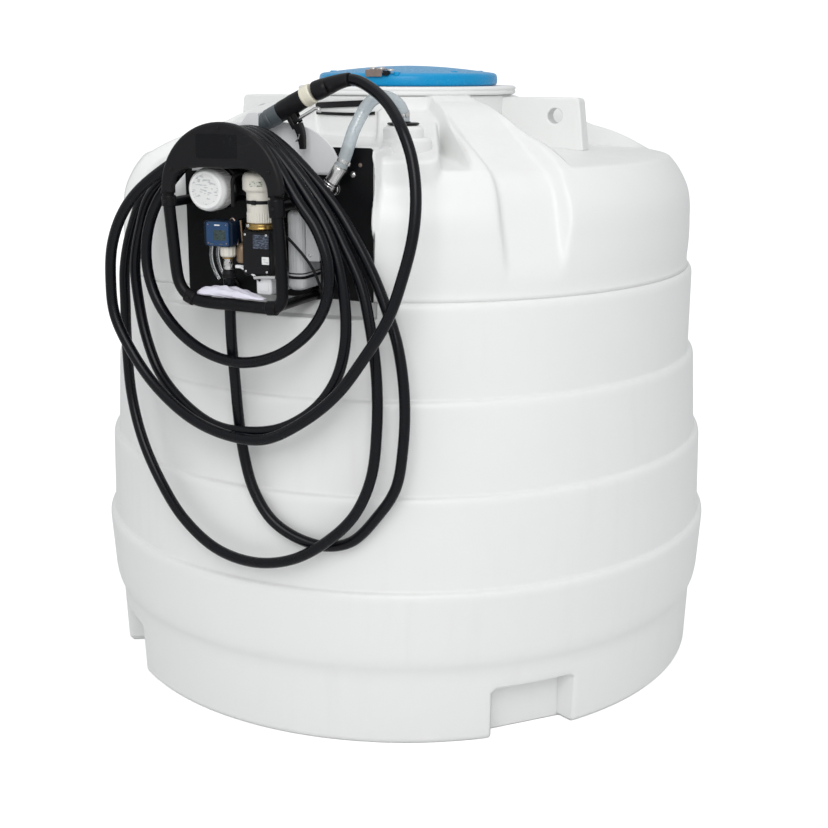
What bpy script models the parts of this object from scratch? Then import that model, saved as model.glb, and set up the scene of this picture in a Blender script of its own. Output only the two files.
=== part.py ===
"""A white moulded tank for diesel exhaust fluid, with a blue manhole lid and a wall-hung pump.

Metres, +Z up. The origin is at the middle of the tank's base, on the ground. The pump hangs on
the -Y side, and the two lifting lugs stand at +X and -X.
"""
import math

import bmesh
import bpy
import numpy as np
from mathutils import Matrix, Vector

# Fits and mesh fineness
GAP = 0.0003
WALL = 0.010
SEGMENTS = 64
SMALL_SEGMENTS = 24
SMOOTH_ANGLE = math.radians(35)
CURVE_STEPS = 16

# Stepped wall: radius and height of each crease, from the lowest band up
CREASES = ((0.900, 0.432), (0.877, 0.677), (0.848, 0.917), (0.831, 1.160))
LEDGE = 0.0165
LEDGE_DROP = 0.015
FOOT_RADIUS = 0.8815
FOOT_ROUND = 0.009
SKIRT_TOP = (0.8885, 0.200)
BELT_FOOT = (0.906, 0.236)
FLOOR_RADIUS = 0.800
SKIRT_INNER = 0.868

# Roof: shoulder outline from the top crease up to the neck
ROOF_BASE = 1.1603
SHOULDER = ((0.831, ROOF_BASE), (0.834, 1.330), (0.829, 1.385), (0.808, 1.430), (0.775, 1.459),
            (0.737, 1.473), (0.560, 1.555), (0.330, 1.634))
NECK_RADIUS = 0.305
NECK_TOP = 1.6385
BORE_RADIUS = 0.225
RIM_RADIUS = 0.318
RIM_TOP = 1.662

# Sunk fields in the roof: half angle in degrees, and floor height at the neck and at the rim
FIELD_HALF = 34.5
FIELD_FLOOR = (1.505, 1.466)
PUMP_SHELF_Z = 1.527
FIELD_OUTER = 0.845

# Flat panel that the pump hangs on
PANEL_Y = -0.735
PANEL_LEFT = -0.600
PANEL_RIGHT = 0.235
PANEL_FLOOR = 1.120
SHELF_LEFT = -0.330
SHELF_RIGHT = 0.247
SHELF_BACK = -0.200

# Pallet-fork pockets and tie-down channels, both on the diagonals
DIAGONALS = (45.0, 135.0, 225.0, 315.0)
FORK_WIDTH = 0.230
FORK_HEIGHT = 0.141
FORK_DEPTH_RADIUS = 0.820

# Pad with a stepped boss for the suction hose
PAD_ANGLE = 22.5
PAD_HALF = 0.080
PAD_INNER = 0.520
PAD_OUTER = 0.800
PAD_SLOPE = 0.20
PAD_FRONT_Z = 1.498
BOSS_RADIAL = 0.680
BOSS_RADIUS = 0.0615
BOSS_TOP = 1.547
STEP_ANGLE = 21.7
STEP_RADIUS = 0.050
STEP_TOP = 1.575
DISC_RADIUS = 0.0395
DISC_TOP = 1.5845

# Lifting lugs
LUG_THICK = 0.062
LUG_TOP = 1.632
LUG_FOOT_X = 0.547
LUG_HEAD_X = 0.530
LUG_HOLE = (0.461, 1.582)
LUG_HOLE_RADIUS = 0.021

# Manhole lid and its hinge
LID_RADIUS = 0.2635
LID_SEAT = 0.0008
LID_RIM_TOP = 1.697
LID_CROWN = 1.718
HINGE_Y = 0.296
HINGE_Z = 1.684
PIN_RADIUS = 0.004

# Pump kit
PLATE = ((-0.310, 0.217), (-0.7413, -0.7353), (1.143, 1.525))
PLATE_FRONT = PLATE[1][0] - GAP
FRAME_Y = -0.950
FRAME_TUBE = 0.0145
SADDLE_CENTRE = (-0.075, 1.430)
SADDLE_RADIUS = 0.115
SADDLE_FRONT = -0.9375
SADDLE_FLANGE = (0.212, 0.155, 0.028)
HOSE_RADIUS = 0.0138
SUCTION_RADIUS = 0.0158
CABLE_RADIUS = 0.0035
FILTER_CENTRE = (-0.131, 1.430)
FILTER_FRONT = -0.930
OUTLET_CENTRE = (-0.096, -0.905)
OUTLET_HEIGHTS = (1.2950, 1.2670, 1.2350, 1.2150)
MOTOR_CENTRE = (-0.0130, -0.885)
HEAD_TOP = 1.336

# Dispensing nozzle: tip of the spout sleeve, lean of its axis, and lengths along that axis
NOZZLE_TIP = (-0.062, -0.785, 1.579)
NOZZLE_LEAN = 28.0
SLEEVE_LENGTH = 0.061
BODY_LENGTH = 0.073
COLLAR_LENGTH = 0.028
SWIVEL_LENGTH = 0.030
SWIVEL_LEAN = 20.0
TRIGGER_ALONG = 0.0945
TRIGGER_BELOW = 0.038
TRIGGER_PIN = 0.0025

# Colours: base colour, roughness, metallic
WHITE = ((0.84, 0.85, 0.85), 0.45, 0.0)
BLUE = ((0.0, 0.33, 0.66), 0.40, 0.0)
BLACK = ((0.020, 0.021, 0.024), 0.45, 0.0)
RUBBER = ((0.026, 0.027, 0.034), 0.40, 0.0)
GREY = ((0.42, 0.43, 0.44), 0.50, 0.0)
IVORY = ((0.66, 0.64, 0.58), 0.50, 0.0)
STEEL = ((0.62, 0.61, 0.60), 0.30, 1.0)
BRASS = ((0.62, 0.42, 0.15), 0.35, 1.0)
METER_BLUE = ((0.03, 0.12, 0.30), 0.40, 0.0)
CLEAR = ((0.62, 0.70, 0.74), 0.25, 0.0)
CLOTH = ((0.74, 0.73, 0.80), 0.80, 0.0)
SLATE = ((0.16, 0.19, 0.21), 0.50, 0.0)
PALE_GREY = ((0.62, 0.64, 0.66), 0.50, 0.0)


def clear_scene():
    """Remove every object that the scene holds."""
    for thing in list(bpy.data.objects):
        bpy.data.objects.remove(thing, do_unlink=True)


def material(name, finish):
    """Make a Principled material from a base colour, a roughness and a metallic value."""
    colour, roughness, metallic = finish
    made = bpy.data.materials.new(name)
    made.use_nodes = True
    shader = made.node_tree.nodes["Principled BSDF"]
    shader.inputs["Base Color"].default_value = (*colour, 1.0)
    shader.inputs["Roughness"].default_value = roughness
    shader.inputs["Metallic"].default_value = metallic
    return made


def add_object(name, shape, finish):
    """Turn a bmesh into a named object with smooth round sides and sharp edges."""
    bmesh.ops.remove_doubles(shape, verts=shape.verts, dist=1e-6)
    bmesh.ops.recalc_face_normals(shape, faces=shape.faces)
    mesh = bpy.data.meshes.new(name)
    shape.to_mesh(mesh)
    shape.free()
    mesh.shade_smooth()
    mesh.set_sharp_from_angle(angle=SMOOTH_ANGLE)
    made = bpy.data.objects.new(name, mesh)
    made.data.materials.append(material(name, finish))
    bpy.context.scene.collection.objects.link(made)
    return made


def bake(target):
    """Replace an object's mesh by what its modifiers make of it."""
    graph = bpy.context.evaluated_depsgraph_get()
    mesh = bpy.data.meshes.new_from_object(target.evaluated_get(graph))
    target.modifiers.clear()
    target.data = mesh
    mesh.shade_smooth()
    mesh.set_sharp_from_angle(angle=SMOOTH_ANGLE)


def combine(target, tool, operation):
    """Join, cut or intersect a target with a tool, and remove the tool."""
    boolean = target.modifiers.new(operation, "BOOLEAN")
    boolean.operation = operation
    boolean.solver = "EXACT"
    boolean.object = tool
    bake(target)
    bpy.data.objects.remove(tool, do_unlink=True)
    return target


def box(name, xs, ys, zs, finish=WHITE):
    """Make a box between two values on each axis."""
    shape = bmesh.new()
    bmesh.ops.create_cube(shape, size=1.0)
    low = Vector((min(xs), min(ys), min(zs)))
    high = Vector((max(xs), max(ys), max(zs)))
    size = high - low
    for vert in shape.verts:
        vert.co = low + Vector((size[k] * (vert.co[k] + 0.5) for k in range(3)))
    return add_object(name, shape, finish)


def turned(name, outline, finish=WHITE, segments=SEGMENTS, closed=False, place=None):
    """Turn an outline of (radius, height) points about the Z axis, then place it."""
    shape = bmesh.new()
    angles = np.arange(segments) * 2 * math.pi / segments
    rings = []
    for radius, height in outline:
        if radius < 1e-6:
            rings.append([shape.verts.new((0, 0, height))])
        else:
            rings.append([shape.verts.new((radius * math.cos(a), radius * math.sin(a), height))
                          for a in angles])
    pairs = list(zip(rings, rings[1:]))
    if closed:
        pairs.append((rings[-1], rings[0]))
    for lower, upper in pairs:
        for k in range(segments):
            corners = [lower[k % len(lower)], lower[(k + 1) % len(lower)],
                       upper[(k + 1) % len(upper)], upper[k % len(upper)]]
            unique = list(dict.fromkeys(corners))
            if len(unique) > 2:
                shape.faces.new(unique)
    if place is not None:
        shape.transform(place)
    return add_object(name, shape, finish)


def prism(name, outline, place, depth, finish=WHITE):
    """Extrude a flat outline in its own XY plane by a depth along its Z, then place it."""
    shape = bmesh.new()
    low = [shape.verts.new((x, y, 0)) for x, y in outline]
    high = [shape.verts.new((x, y, depth)) for x, y in outline]
    shape.faces.new(low)
    shape.faces.new(high)
    for k in range(len(outline)):
        after = (k + 1) % len(outline)
        shape.faces.new([low[k], low[after], high[after], high[k]])
    shape.transform(place)
    return add_object(name, shape, finish)


def loft(name, sections, finish=WHITE):
    """Join a row of cross-sections, each with the same number of corners, and cap both ends."""
    shape = bmesh.new()
    rings = [[shape.verts.new(corner) for corner in section] for section in sections]
    shape.faces.new(rings[0])
    shape.faces.new(rings[-1])
    for first, second in zip(rings, rings[1:]):
        for k in range(len(first)):
            after = (k + 1) % len(first)
            shape.faces.new([first[k], first[after], second[after], second[k]])
    return add_object(name, shape, finish)


def arc(centre, radius, start, end, steps):
    """List the points of an arc between two angles in degrees."""
    angles = np.radians(np.linspace(start, end, steps + 1))
    return [(centre[0] + radius * math.cos(a), centre[1] + radius * math.sin(a)) for a in angles]


def polar(radial, tangential, angle, height):
    """Give the point at a radial and a tangential distance, for an angle from -Y towards +X."""
    turn = math.radians(angle)
    out = Vector((math.sin(turn), -math.cos(turn), 0))
    side = Vector((math.cos(turn), math.sin(turn), 0))
    return out * radial + side * tangential + Vector((0, 0, height))


def axis_place(point, direction):
    """Give the placement that sends +Z to a direction and the origin to a point."""
    turn = Vector((0, 0, 1)).rotation_difference(Vector(direction))
    return Matrix.Translation(Vector(point)) @ turn.to_matrix().to_4x4()


def rod(name, point, direction, outline, finish, segments=SMALL_SEGMENTS):
    """Turn an outline of (radius, distance along the axis) about an axis through a point."""
    return turned(name, outline, finish, segments, place=axis_place(point, direction))


def smooth_curve(points):
    """Read a smooth centripetal curve through the given points."""
    knots = np.array(points, dtype=float)
    knots = np.vstack([2 * knots[0] - knots[1], knots, 2 * knots[-1] - knots[-2]])
    pieces = []
    for k in range(1, len(knots) - 2):
        p0, p1, p2, p3 = knots[k - 1:k + 3]
        t1 = np.linalg.norm(p1 - p0) ** 0.5
        t2 = t1 + np.linalg.norm(p2 - p1) ** 0.5
        t3 = t2 + np.linalg.norm(p3 - p2) ** 0.5
        t = np.linspace(t1, t2, CURVE_STEPS, endpoint=False)[:, None]
        a1 = (t1 - t) / t1 * p0 + t / t1 * p1
        a2 = (t2 - t) / (t2 - t1) * p1 + (t - t1) / (t2 - t1) * p2
        a3 = (t3 - t) / (t3 - t2) * p2 + (t - t2) / (t3 - t2) * p3
        b1 = (t2 - t) / t2 * a1 + t / t2 * a2
        b2 = (t3 - t) / (t3 - t1) * a2 + (t - t1) / (t3 - t1) * a3
        pieces.append((t2 - t) / (t2 - t1) * b1 + (t - t1) / (t2 - t1) * b2)
    pieces.append(knots[-2][None])
    return np.vstack(pieces)


def spaced(path, longest, turn):
    """Pick points along a path: one for each longest step or for each turn in degrees."""
    steps = np.diff(path, axis=0)
    lengths = np.linalg.norm(steps, axis=1)
    heading = steps / lengths[:, None]
    bend = np.degrees(np.arccos(np.clip(np.sum(heading[1:] * heading[:-1], axis=1), -1, 1)))
    weight = lengths / longest + np.append(bend, 0) / turn
    total = np.append(0, np.cumsum(weight))
    marks = np.linspace(0, total[-1], int(round(total[-1])) + 1)
    return np.stack([np.interp(marks, total, path[:, k]) for k in range(3)], axis=1)


def hose_path(route, longest, turn):
    """Read a smooth path along a route whose first and last stretches are straight."""
    inner = spaced(smooth_curve(route)[CURVE_STEPS:-CURVE_STEPS], longest, turn)
    return np.vstack([route[0], inner, route[-1]])


def tube(name, points, radius, finish, fineness=2):
    """Make a round tube with closed ends along a list of points."""
    curve = bpy.data.curves.new(name, "CURVE")
    curve.dimensions = "3D"
    curve.bevel_depth = radius
    curve.bevel_resolution = fineness
    curve.use_fill_caps = True
    spline = curve.splines.new("POLY")
    spline.points.add(len(points) - 1)
    for point, place in zip(spline.points, points):
        point.co = (*place, 1.0)
    made = bpy.data.objects.new(name, curve)
    curve.materials.append(material(name, finish))
    bpy.context.scene.collection.objects.link(made)
    return made


def wall_outline():
    """List the section of the stepped wall, up its outer side and down its inner side."""
    outer = [(FOOT_RADIUS - FOOT_ROUND, 0.0), (FOOT_RADIUS, 0.010), SKIRT_TOP, BELT_FOOT]
    inner = [(FLOOR_RADIUS, 0.0), (FLOOR_RADIUS, WALL), (SKIRT_INNER, WALL),
             (SKIRT_INNER + 0.003, SKIRT_TOP[1]), (BELT_FOOT[0] - WALL, BELT_FOOT[1] + WALL)]
    for radius, height in CREASES:
        outer += [(radius + LEDGE, height - LEDGE_DROP),
                  (radius + LEDGE - 0.005, height - 0.0035), (radius, height)]
        inner += [(radius + LEDGE - WALL, height - LEDGE_DROP - 0.006)]
        if height < CREASES[-1][1]:
            inner += [(radius - WALL, height - LEDGE_DROP + 0.012)]
    inner += [(CREASES[-1][0] - WALL, CREASES[-1][1] - WALL), (CREASES[-1][0] - WALL, CREASES[-1][1])]
    return outer + inner[::-1]


def polar_box(name, angle, radials, half, heights):
    """Make a box square to a radius, between two radial distances and two heights."""
    made = []
    for radial in radials:
        made.append([polar(radial, side * half, angle, height)
                     for side, height in ((-1, heights[0]), (1, heights[0]),
                                          (1, heights[1]), (-1, heights[1]))])
    return loft(name, made)


def panel_box(name, grow, floor, top):
    """Make the space in front of the flat pump panel, grown by a thickness."""
    return box(name, (PANEL_LEFT - grow, PANEL_RIGHT + grow), (-1.1, PANEL_Y + grow),
               (floor, top))


def split_in_quarters(whole, kind):
    """Cut a round shell into four named quarters along the planes of X and Y."""
    for name, side, face in (("front_right", 1, -1), ("back_right", 1, 1), ("back_left", -1, 1),
                             ("front_left", -1, -1)):
        part = bpy.data.objects.new(f"{kind}_{name}", whole.data.copy())
        bpy.context.scene.collection.objects.link(part)
        quarter = box("quarter", (side * GAP / 2, side * 2), (face * GAP / 2, face * 2), (-1, 2))
        combine(part, quarter, "INTERSECT")
        part.data.materials.clear()
        part.data.materials.append(material(part.name, WHITE))
    bpy.data.objects.remove(whole, do_unlink=True)


def make_walls():
    """Make the stepped wall as four quadrants with a fork pocket in each."""
    wall = turned("wall", wall_outline(), closed=True)
    for angle in DIAGONALS:
        liner = polar_box("liner", angle, (FORK_DEPTH_RADIUS - WALL, 0.95),
                          FORK_WIDTH / 2 + 0.012, (0.0, FORK_HEIGHT + 0.012))
        skin = turned("skin", ((0, -0.1), (0.872, -0.1), (0.872, 0.3), (0, 0.3)))
        combine(liner, skin, "INTERSECT")
        combine(wall, liner, "UNION")
        pocket = polar_box("pocket", angle, (FORK_DEPTH_RADIUS, 0.97), FORK_WIDTH / 2,
                           (-0.02, FORK_HEIGHT))
        combine(wall, pocket, "DIFFERENCE")
    liner = panel_box("liner", WALL, PANEL_FLOOR - WALL, CREASES[-1][1])
    skin = turned("skin", ((0, 1.0), (0.8445, 1.0), (0.8445, 1.15), (0.828, 1.155), (0.828, 1.3),
                           (0, 1.3)))
    combine(liner, skin, "INTERSECT")
    combine(wall, liner, "UNION")
    combine(wall, panel_box("recess", 0, PANEL_FLOOR, 1.5), "DIFFERENCE")
    split_in_quarters(wall, "wall")
    turned("tank_floor", ((0, 0), (FLOOR_RADIUS - GAP, 0), (FLOOR_RADIUS - GAP, WALL), (0, WALL)),
           WHITE)


def field(name, middle, grow):
    """Make a sunk field of the roof as a sector with a sloping floor, grown by a thickness."""
    spread = FIELD_HALF + math.degrees(grow / 0.55)
    inner = NECK_RADIUS - grow
    drop = grow * 1.1
    angles = np.linspace(middle - spread, middle + spread, 12)
    sections = []
    for angle in angles:
        sections.append([polar(inner, 0, angle, FIELD_FLOOR[0] - drop),
                         polar(FIELD_OUTER, 0, angle, FIELD_FLOOR[1] - drop),
                         polar(FIELD_OUTER, 0, angle, 1.8), polar(inner, 0, angle, 1.8)])
    return loft(name, sections)


def channel(name, angle, grow):
    """Make a tie-down channel that runs down the shoulder, grown by a thickness."""
    stations = ((0.862, 1.120, 17, 0.055), (0.765, 1.435, 25, 0.100), (0.720, 1.462, 55, 0.104),
                (0.520, 1.553, 65, 0.085), (0.400, 1.625, 65, 0.070))
    reach = 0.15
    sections = []
    for radial, height, lean, half in stations:
        lift = math.radians(lean)
        low = (radial - grow * math.cos(lift), height - grow * math.sin(lift))
        high = (radial + reach * math.cos(lift), height + reach * math.sin(lift))
        wide = half + grow
        spread = wide + 0.30 * reach
        sections.append([polar(low[0], -wide, angle, low[1]), polar(low[0], wide, angle, low[1]),
                         polar(high[0], spread, angle, high[1]),
                         polar(high[0], -spread, angle, high[1])])
    return loft(name, sections)


def roof_solid(name, outline, grow):
    """Make the roof's outer form, or with a thickness the form of the space inside it."""
    form = turned(name, outline)
    for middle in (0.0, 90.0, 180.0, 270.0):
        combine(form, field("field", middle, grow), "DIFFERENCE")
    shelf = box("shelf", (SHELF_LEFT + grow, SHELF_RIGHT - grow), (PANEL_Y - 0.06, SHELF_BACK),
                (1.36, PUMP_SHELF_Z - grow))
    combine(form, shelf, "UNION")
    for angle in DIAGONALS:
        combine(form, channel("channel", angle, grow), "DIFFERENCE")
    return form


def make_roof():
    """Make the roof with its fields, channels, panel, pad and neck, as four quarters."""
    outer = ((0, ROOF_BASE),) + SHOULDER + ((NECK_RADIUS + 0.004, NECK_TOP), (0, NECK_TOP))
    roof = roof_solid("roof", outer, 0)
    combine(roof, panel_box("recess", 0, 1.0, 2.0), "DIFFERENCE")
    combine(roof, make_pad(), "UNION")
    bore = turned("bore", ((0, 1.5), (BORE_RADIUS, 1.5), (BORE_RADIUS, 1.8), (0, 1.8)))
    combine(roof, bore, "DIFFERENCE")
    inner = ((0, 1.10), (0.821, 1.10), (0.824, 1.330), (0.819, 1.382), (0.800, 1.422),
             (0.770, 1.448), (0.733, 1.461), (0.555, 1.543), (0.300, 1.6265), (0, 1.6265))
    hollow = roof_solid("hollow", inner, WALL)
    combine(hollow, panel_box("recess", WALL, 1.0, 2.0), "DIFFERENCE")
    combine(roof, hollow, "DIFFERENCE")
    split_in_quarters(roof, "roof")


def make_pad():
    """Make the pad that rises out of the shoulder, with its stepped boss."""
    corner = 0.025
    flat = (arc((PAD_OUTER - corner, PAD_HALF - corner), corner, 0, 90, 4)
            + [(PAD_INNER, PAD_HALF), (PAD_INNER, -PAD_HALF)]
            + arc((PAD_OUTER - corner, -PAD_HALF + corner), corner, -90, 0, 4))
    sections = []
    for level in (0, 1):
        ring = []
        for radial, side in flat:
            top = PAD_FRONT_Z + (PAD_OUTER - radial) * PAD_SLOPE
            ring.append(polar(radial, side, PAD_ANGLE, top if level else ROOF_BASE + WALL))
        sections.append(ring)
    pad = loft("pad", sections)
    edge = 0.006
    for angle, radius, base, top in ((PAD_ANGLE, BOSS_RADIUS, 1.460, BOSS_TOP),
                                     (STEP_ANGLE, STEP_RADIUS, 1.490, STEP_TOP)):
        outline = ((0, base), (radius, base), (radius, top - edge), (radius - edge, top), (0, top))
        step = turned("step", outline, segments=32,
                      place=Matrix.Translation(polar(BOSS_RADIAL, 0, angle, 0)))
        combine(pad, step, "UNION")
    return pad


def make_manhole():
    """Make the rim on the neck, the lid and its hinge and hasp."""
    turned("manhole_rim", ((BORE_RADIUS, NECK_TOP + GAP), (RIM_RADIUS - 0.003, NECK_TOP + GAP),
                           (RIM_RADIUS, NECK_TOP + 0.004), (RIM_RADIUS, RIM_TOP - 0.006),
                           (RIM_RADIUS - 0.006, RIM_TOP), (BORE_RADIUS, RIM_TOP)), closed=True)
    seat = RIM_TOP + LID_SEAT
    turned("manhole_lid", ((0, seat), (LID_RADIUS - 0.006, seat), (LID_RADIUS - 0.001, seat + 0.004),
                           (LID_RADIUS, seat + 0.012), (LID_RADIUS - 0.003, LID_RIM_TOP - 0.005),
                           (LID_RADIUS - 0.012, LID_RIM_TOP), (0.200, 1.7045), (0.120, 1.713),
                           (0, LID_CROWN)), BLUE)
    posts = box("lid_hinge_posts", (0.0600, 0.0780), (0.284, 0.308), (RIM_TOP + GAP, 1.697), STEEL)
    other = box("post", (-0.0780, -0.0600), (0.284, 0.308), (RIM_TOP + GAP, 1.697), STEEL)
    pin = rod("pin", (-0.0700, HINGE_Y, HINGE_Z), (1, 0, 0),
              ((0, 0), (PIN_RADIUS, 0), (PIN_RADIUS, 0.140), (0, 0.140)), STEEL, 16)
    combine(posts, pin, "UNION")
    combine(posts, other, "UNION")
    leaf = box("lid_hinge_leaf", (-0.0540, 0.0540), (LID_RADIUS + 0.0004, HINGE_Y - 0.004),
               (1.677, 1.691), STEEL)
    knuckle = rod("knuckle", (-0.0540, HINGE_Y, HINGE_Z), (1, 0, 0),
                  ((0, 0), (0.010, 0), (0.010, 0.108), (0, 0.108)), STEEL, 20)
    combine(leaf, knuckle, "UNION")
    eye = rod("eye", (-0.080, HINGE_Y, HINGE_Z), (1, 0, 0),
              ((0, 0), (PIN_RADIUS + GAP, 0), (PIN_RADIUS + GAP, 0.160), (0, 0.160)), STEEL, 16)
    combine(leaf, eye, "DIFFERENCE")
    hasp = ((-0.269, 1.680), (-0.2655, 1.680), (-0.2655, 1.7000), (-0.210, 1.70345),
            (-0.210, 1.7070), (-0.269, 1.7036))
    place = Matrix(((0, 0, 1, -0.024), (1, 0, 0, 0), (0, 1, 0, 0), (0, 0, 0, 1)))
    prism("lid_hasp", hasp, place, 0.046, STEEL)


def make_lugs():
    """Make the two lifting lugs that stand in the sunk fields at +X and -X."""
    slope = (FIELD_FLOOR[1] - FIELD_FLOOR[0]) / (FIELD_OUTER - NECK_RADIUS)

    def floor_at(x):
        return FIELD_FLOOR[0] + slope * (x - NECK_RADIUS) + GAP * 2

    inner = NECK_RADIUS + 0.0006
    outline = [(inner, floor_at(inner)), (LUG_FOOT_X, floor_at(LUG_FOOT_X))]
    outline += arc((LUG_HEAD_X - 0.012, LUG_TOP - 0.012), 0.012, 10, 90, 4)
    outline += [(inner, LUG_TOP)]
    for name, side in (("lug_right", 1), ("lug_left", -1)):
        place = Matrix(((side, 0, 0, 0), (0, 0, 1, -LUG_THICK / 2), (0, 1, 0, 0), (0, 0, 0, 1)))
        lug = prism(name, outline, place, LUG_THICK, WHITE)
        hole = rod("hole", (side * LUG_HOLE[0], -0.1, LUG_HOLE[1]), (0, 1, 0),
                   ((0, 0), (LUG_HOLE_RADIUS, 0), (LUG_HOLE_RADIUS, 0.2), (0, 0.2)), WHITE)
        combine(lug, hole, "DIFFERENCE")


def make_frame():
    """Make the back plate and the tube frame that stands off it."""
    box("pump_plate", *PLATE, BLACK)
    left_top, right_top = -0.230, 0.062
    corners = ((left_top, 1.4197), (left_top, 1.405), (-0.222, 1.310), (-0.215, 1.225),
               (-0.206, 1.198), (-0.186, 1.175), (-0.160, 1.163), (-0.130, 1.160), (0.044, 1.156),
               (0.060, 1.160), (0.070, 1.172), (0.073, 1.190), (0.070, 1.300), (right_top, 1.405),
               (right_top, 1.4197))
    tube("frame_loop", [(x, FRAME_Y, z) for x, z in corners], FRAME_TUBE, BLACK, 3)
    front = FRAME_Y + FRAME_TUBE + GAP
    arms = (("frame_arm_upper_left", -0.2285, 1.397, 0.0120),
            ("frame_arm_upper_right", 0.0635, 1.397, 0.0120),
            ("frame_arm_lower_left", -0.178, 1.168, 0.0120),
            ("frame_arm_lower_right", 0.0600, 1.160, 0.0120))
    for name, x, z, radius in arms:
        tube(name, [(x, front, z), (x, PLATE_FRONT, z)], radius, BLACK, 3)


def make_saddle():
    """Make the hose saddle: a half drum on the plate with a moulded arch in front."""
    cx, cz = SADDLE_CENTRE
    drum = (arc(SADDLE_CENTRE, SADDLE_RADIUS, 28, 152, 20)
            + arc(SADDLE_CENTRE, SADDLE_RADIUS - 0.006, 152, 28, 20))
    place = Matrix(((1, 0, 0, 0), (0, 0, -1, PLATE_FRONT), (0, 1, 0, 0), (0, 0, 0, 1)))
    saddle = prism("hose_saddle", drum, place, PLATE_FRONT - SADDLE_FRONT, PALE_GREY)
    wide, tall, foot = SADDLE_FLANGE
    ends = (tall ** 2.6 - foot ** 2.6) ** (1 / 2.6) / tall
    shares = np.concatenate([-np.sin(np.linspace(np.arcsin(ends), 0, 14)),
                             np.sin(np.linspace(0, np.arcsin(ends), 14))[1:]])
    rim = [(cx + wide * share, cz + tall * (1 - abs(share) ** 2.6) ** (1 / 2.6)) for share in shares]
    start = math.degrees(math.asin(foot / (SADDLE_RADIUS - 0.003)))
    rim += arc(SADDLE_CENTRE, SADDLE_RADIUS - 0.003, start, 180 - start, 22)
    place = Matrix(((1, 0, 0, 0), (0, 0, -1, PLATE_FRONT - 0.0005), (0, 1, 0, 0), (0, 0, 0, 1)))
    combine(saddle, prism("flange", rim, place, 0.006, PALE_GREY), "UNION")
    outer = [(0.080, 1.4200)] + arc((-0.080, 1.425), 0.165, 4, 176, 22) + [(-0.248, 1.4200)]
    inner = [(-0.212, 1.4200), (-0.208, 1.448), (-0.190, 1.470), (-0.160, 1.482),
             (-0.010, 1.482), (0.020, 1.474), (0.038, 1.455), (0.044, 1.4200)]
    place = Matrix(((1, 0, 0, 0), (0, 0, -1, SADDLE_FRONT - GAP), (0, 1, 0, 0), (0, 0, 0, 1)))
    prism("saddle_arch", outer + inner, place, 0.026, BLACK)


def make_filter():
    """Make the filter's white cap and its black head, which the plate carries."""
    x, z = FILTER_CENTRE
    rod("filter_cap", (x, FILTER_FRONT, z), (0, 1, 0),
        ((0, 0), (0.040, 0), (0.0475, 0.007), (0.049, 0.014), (0.049, 0.060), (0, 0.060)), WHITE, 40)
    back = PLATE_FRONT - (FILTER_FRONT + 0.060 + GAP)
    rod("filter_head", (x, FILTER_FRONT + 0.060 + GAP, z), (0, 1, 0),
        ((0, 0), (0.040, 0), (0.040, back), (0, back)), BLACK, 32)


def upright(name, centre, outline, finish, segments=SMALL_SEGMENTS):
    """Turn an outline of (radius, height) about an upright axis through (x, y)."""
    return turned(name, outline, finish, segments, place=Matrix.Translation((*centre, 0)))


def make_meter():
    """Make the flow meter, its bracket and the outlet that the hose leaves from."""
    outline = ((-0.149, 1.303), (-0.141, 1.295), (-0.070, 1.295), (-0.062, 1.303), (-0.062, 1.343),
               (-0.070, 1.351), (-0.141, 1.351), (-0.149, 1.343))
    place = Matrix(((1, 0, 0, 0), (0, 0, -1, -0.885), (0, 1, 0, 0), (0, 0, 0, 1)))
    prism("meter", outline, place, 0.050, METER_BLUE)
    box("meter_bracket", (-0.130, -0.090), (-0.885 + GAP, PLATE_FRONT), (1.305, 1.345), BLACK)
    top, nut, elbow, tail = OUTLET_HEIGHTS
    upright("meter_outlet", OUTLET_CENTRE,
            ((0, nut), (0.0175, nut), (0.0195, nut + 0.004), (0.0195, top - GAP), (0, top - GAP)), IVORY)
    upright("outlet_elbow", OUTLET_CENTRE,
            ((0, elbow), (0.0125, elbow), (0.0125, nut - GAP), (0, nut - GAP)), STEEL)
    upright("hose_tail", OUTLET_CENTRE,
            ((0, tail), (0.0155, tail), (0.0165, tail + 0.004), (0.0165, elbow - GAP),
             (0, elbow - GAP)), BLACK)


def make_motor():
    """Make the pump's head, motor, seal ring, valve, foot, rear housing and terminal box."""
    box("pump_head", (-0.048, 0.028), (-0.925, PLATE_FRONT), (1.226, HEAD_TOP), BLACK)
    ring = HEAD_TOP + 0.0155
    upright("seal_ring", MOTOR_CENTRE,
            ((0, HEAD_TOP + GAP), (0.0380, HEAD_TOP + GAP), (0.0400, HEAD_TOP + 0.003),
             (0.0400, ring - 0.003), (0.0380, ring), (0, ring)), BRASS, 32)
    upright("pump_motor", MOTOR_CENTRE,
            ((0, ring + GAP), (0.0345, ring + GAP), (0.0365, 1.424), (0.0430, 1.432), (0.0430, 1.466),
             (0.0390, 1.474), (0, 1.474)), IVORY, 32)
    box("valve_body", (-0.0755, -0.048 - GAP), (-0.905, -0.875), (1.255, 1.2945), BRASS)
    box("pump_foot", (-0.012, 0.030), (-0.922, PLATE_FRONT), (1.182, 1.226 - GAP), PALE_GREY)
    plan = ([(0.0345, PLATE_FRONT)] + arc((0.0545, -0.835), 0.020, 180, 270, 5)
            + arc((0.0620, -0.835), 0.020, 270, 360, 5) + [(0.0820, PLATE_FRONT)])
    prism("motor_housing", plan, Matrix.Translation((0, 0, 1.185)), 0.195, GREY)
    box("terminal_box", (0.082 + GAP, 0.120), (-0.842, PLATE_FRONT), (1.258, 1.365), GREY)


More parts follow.
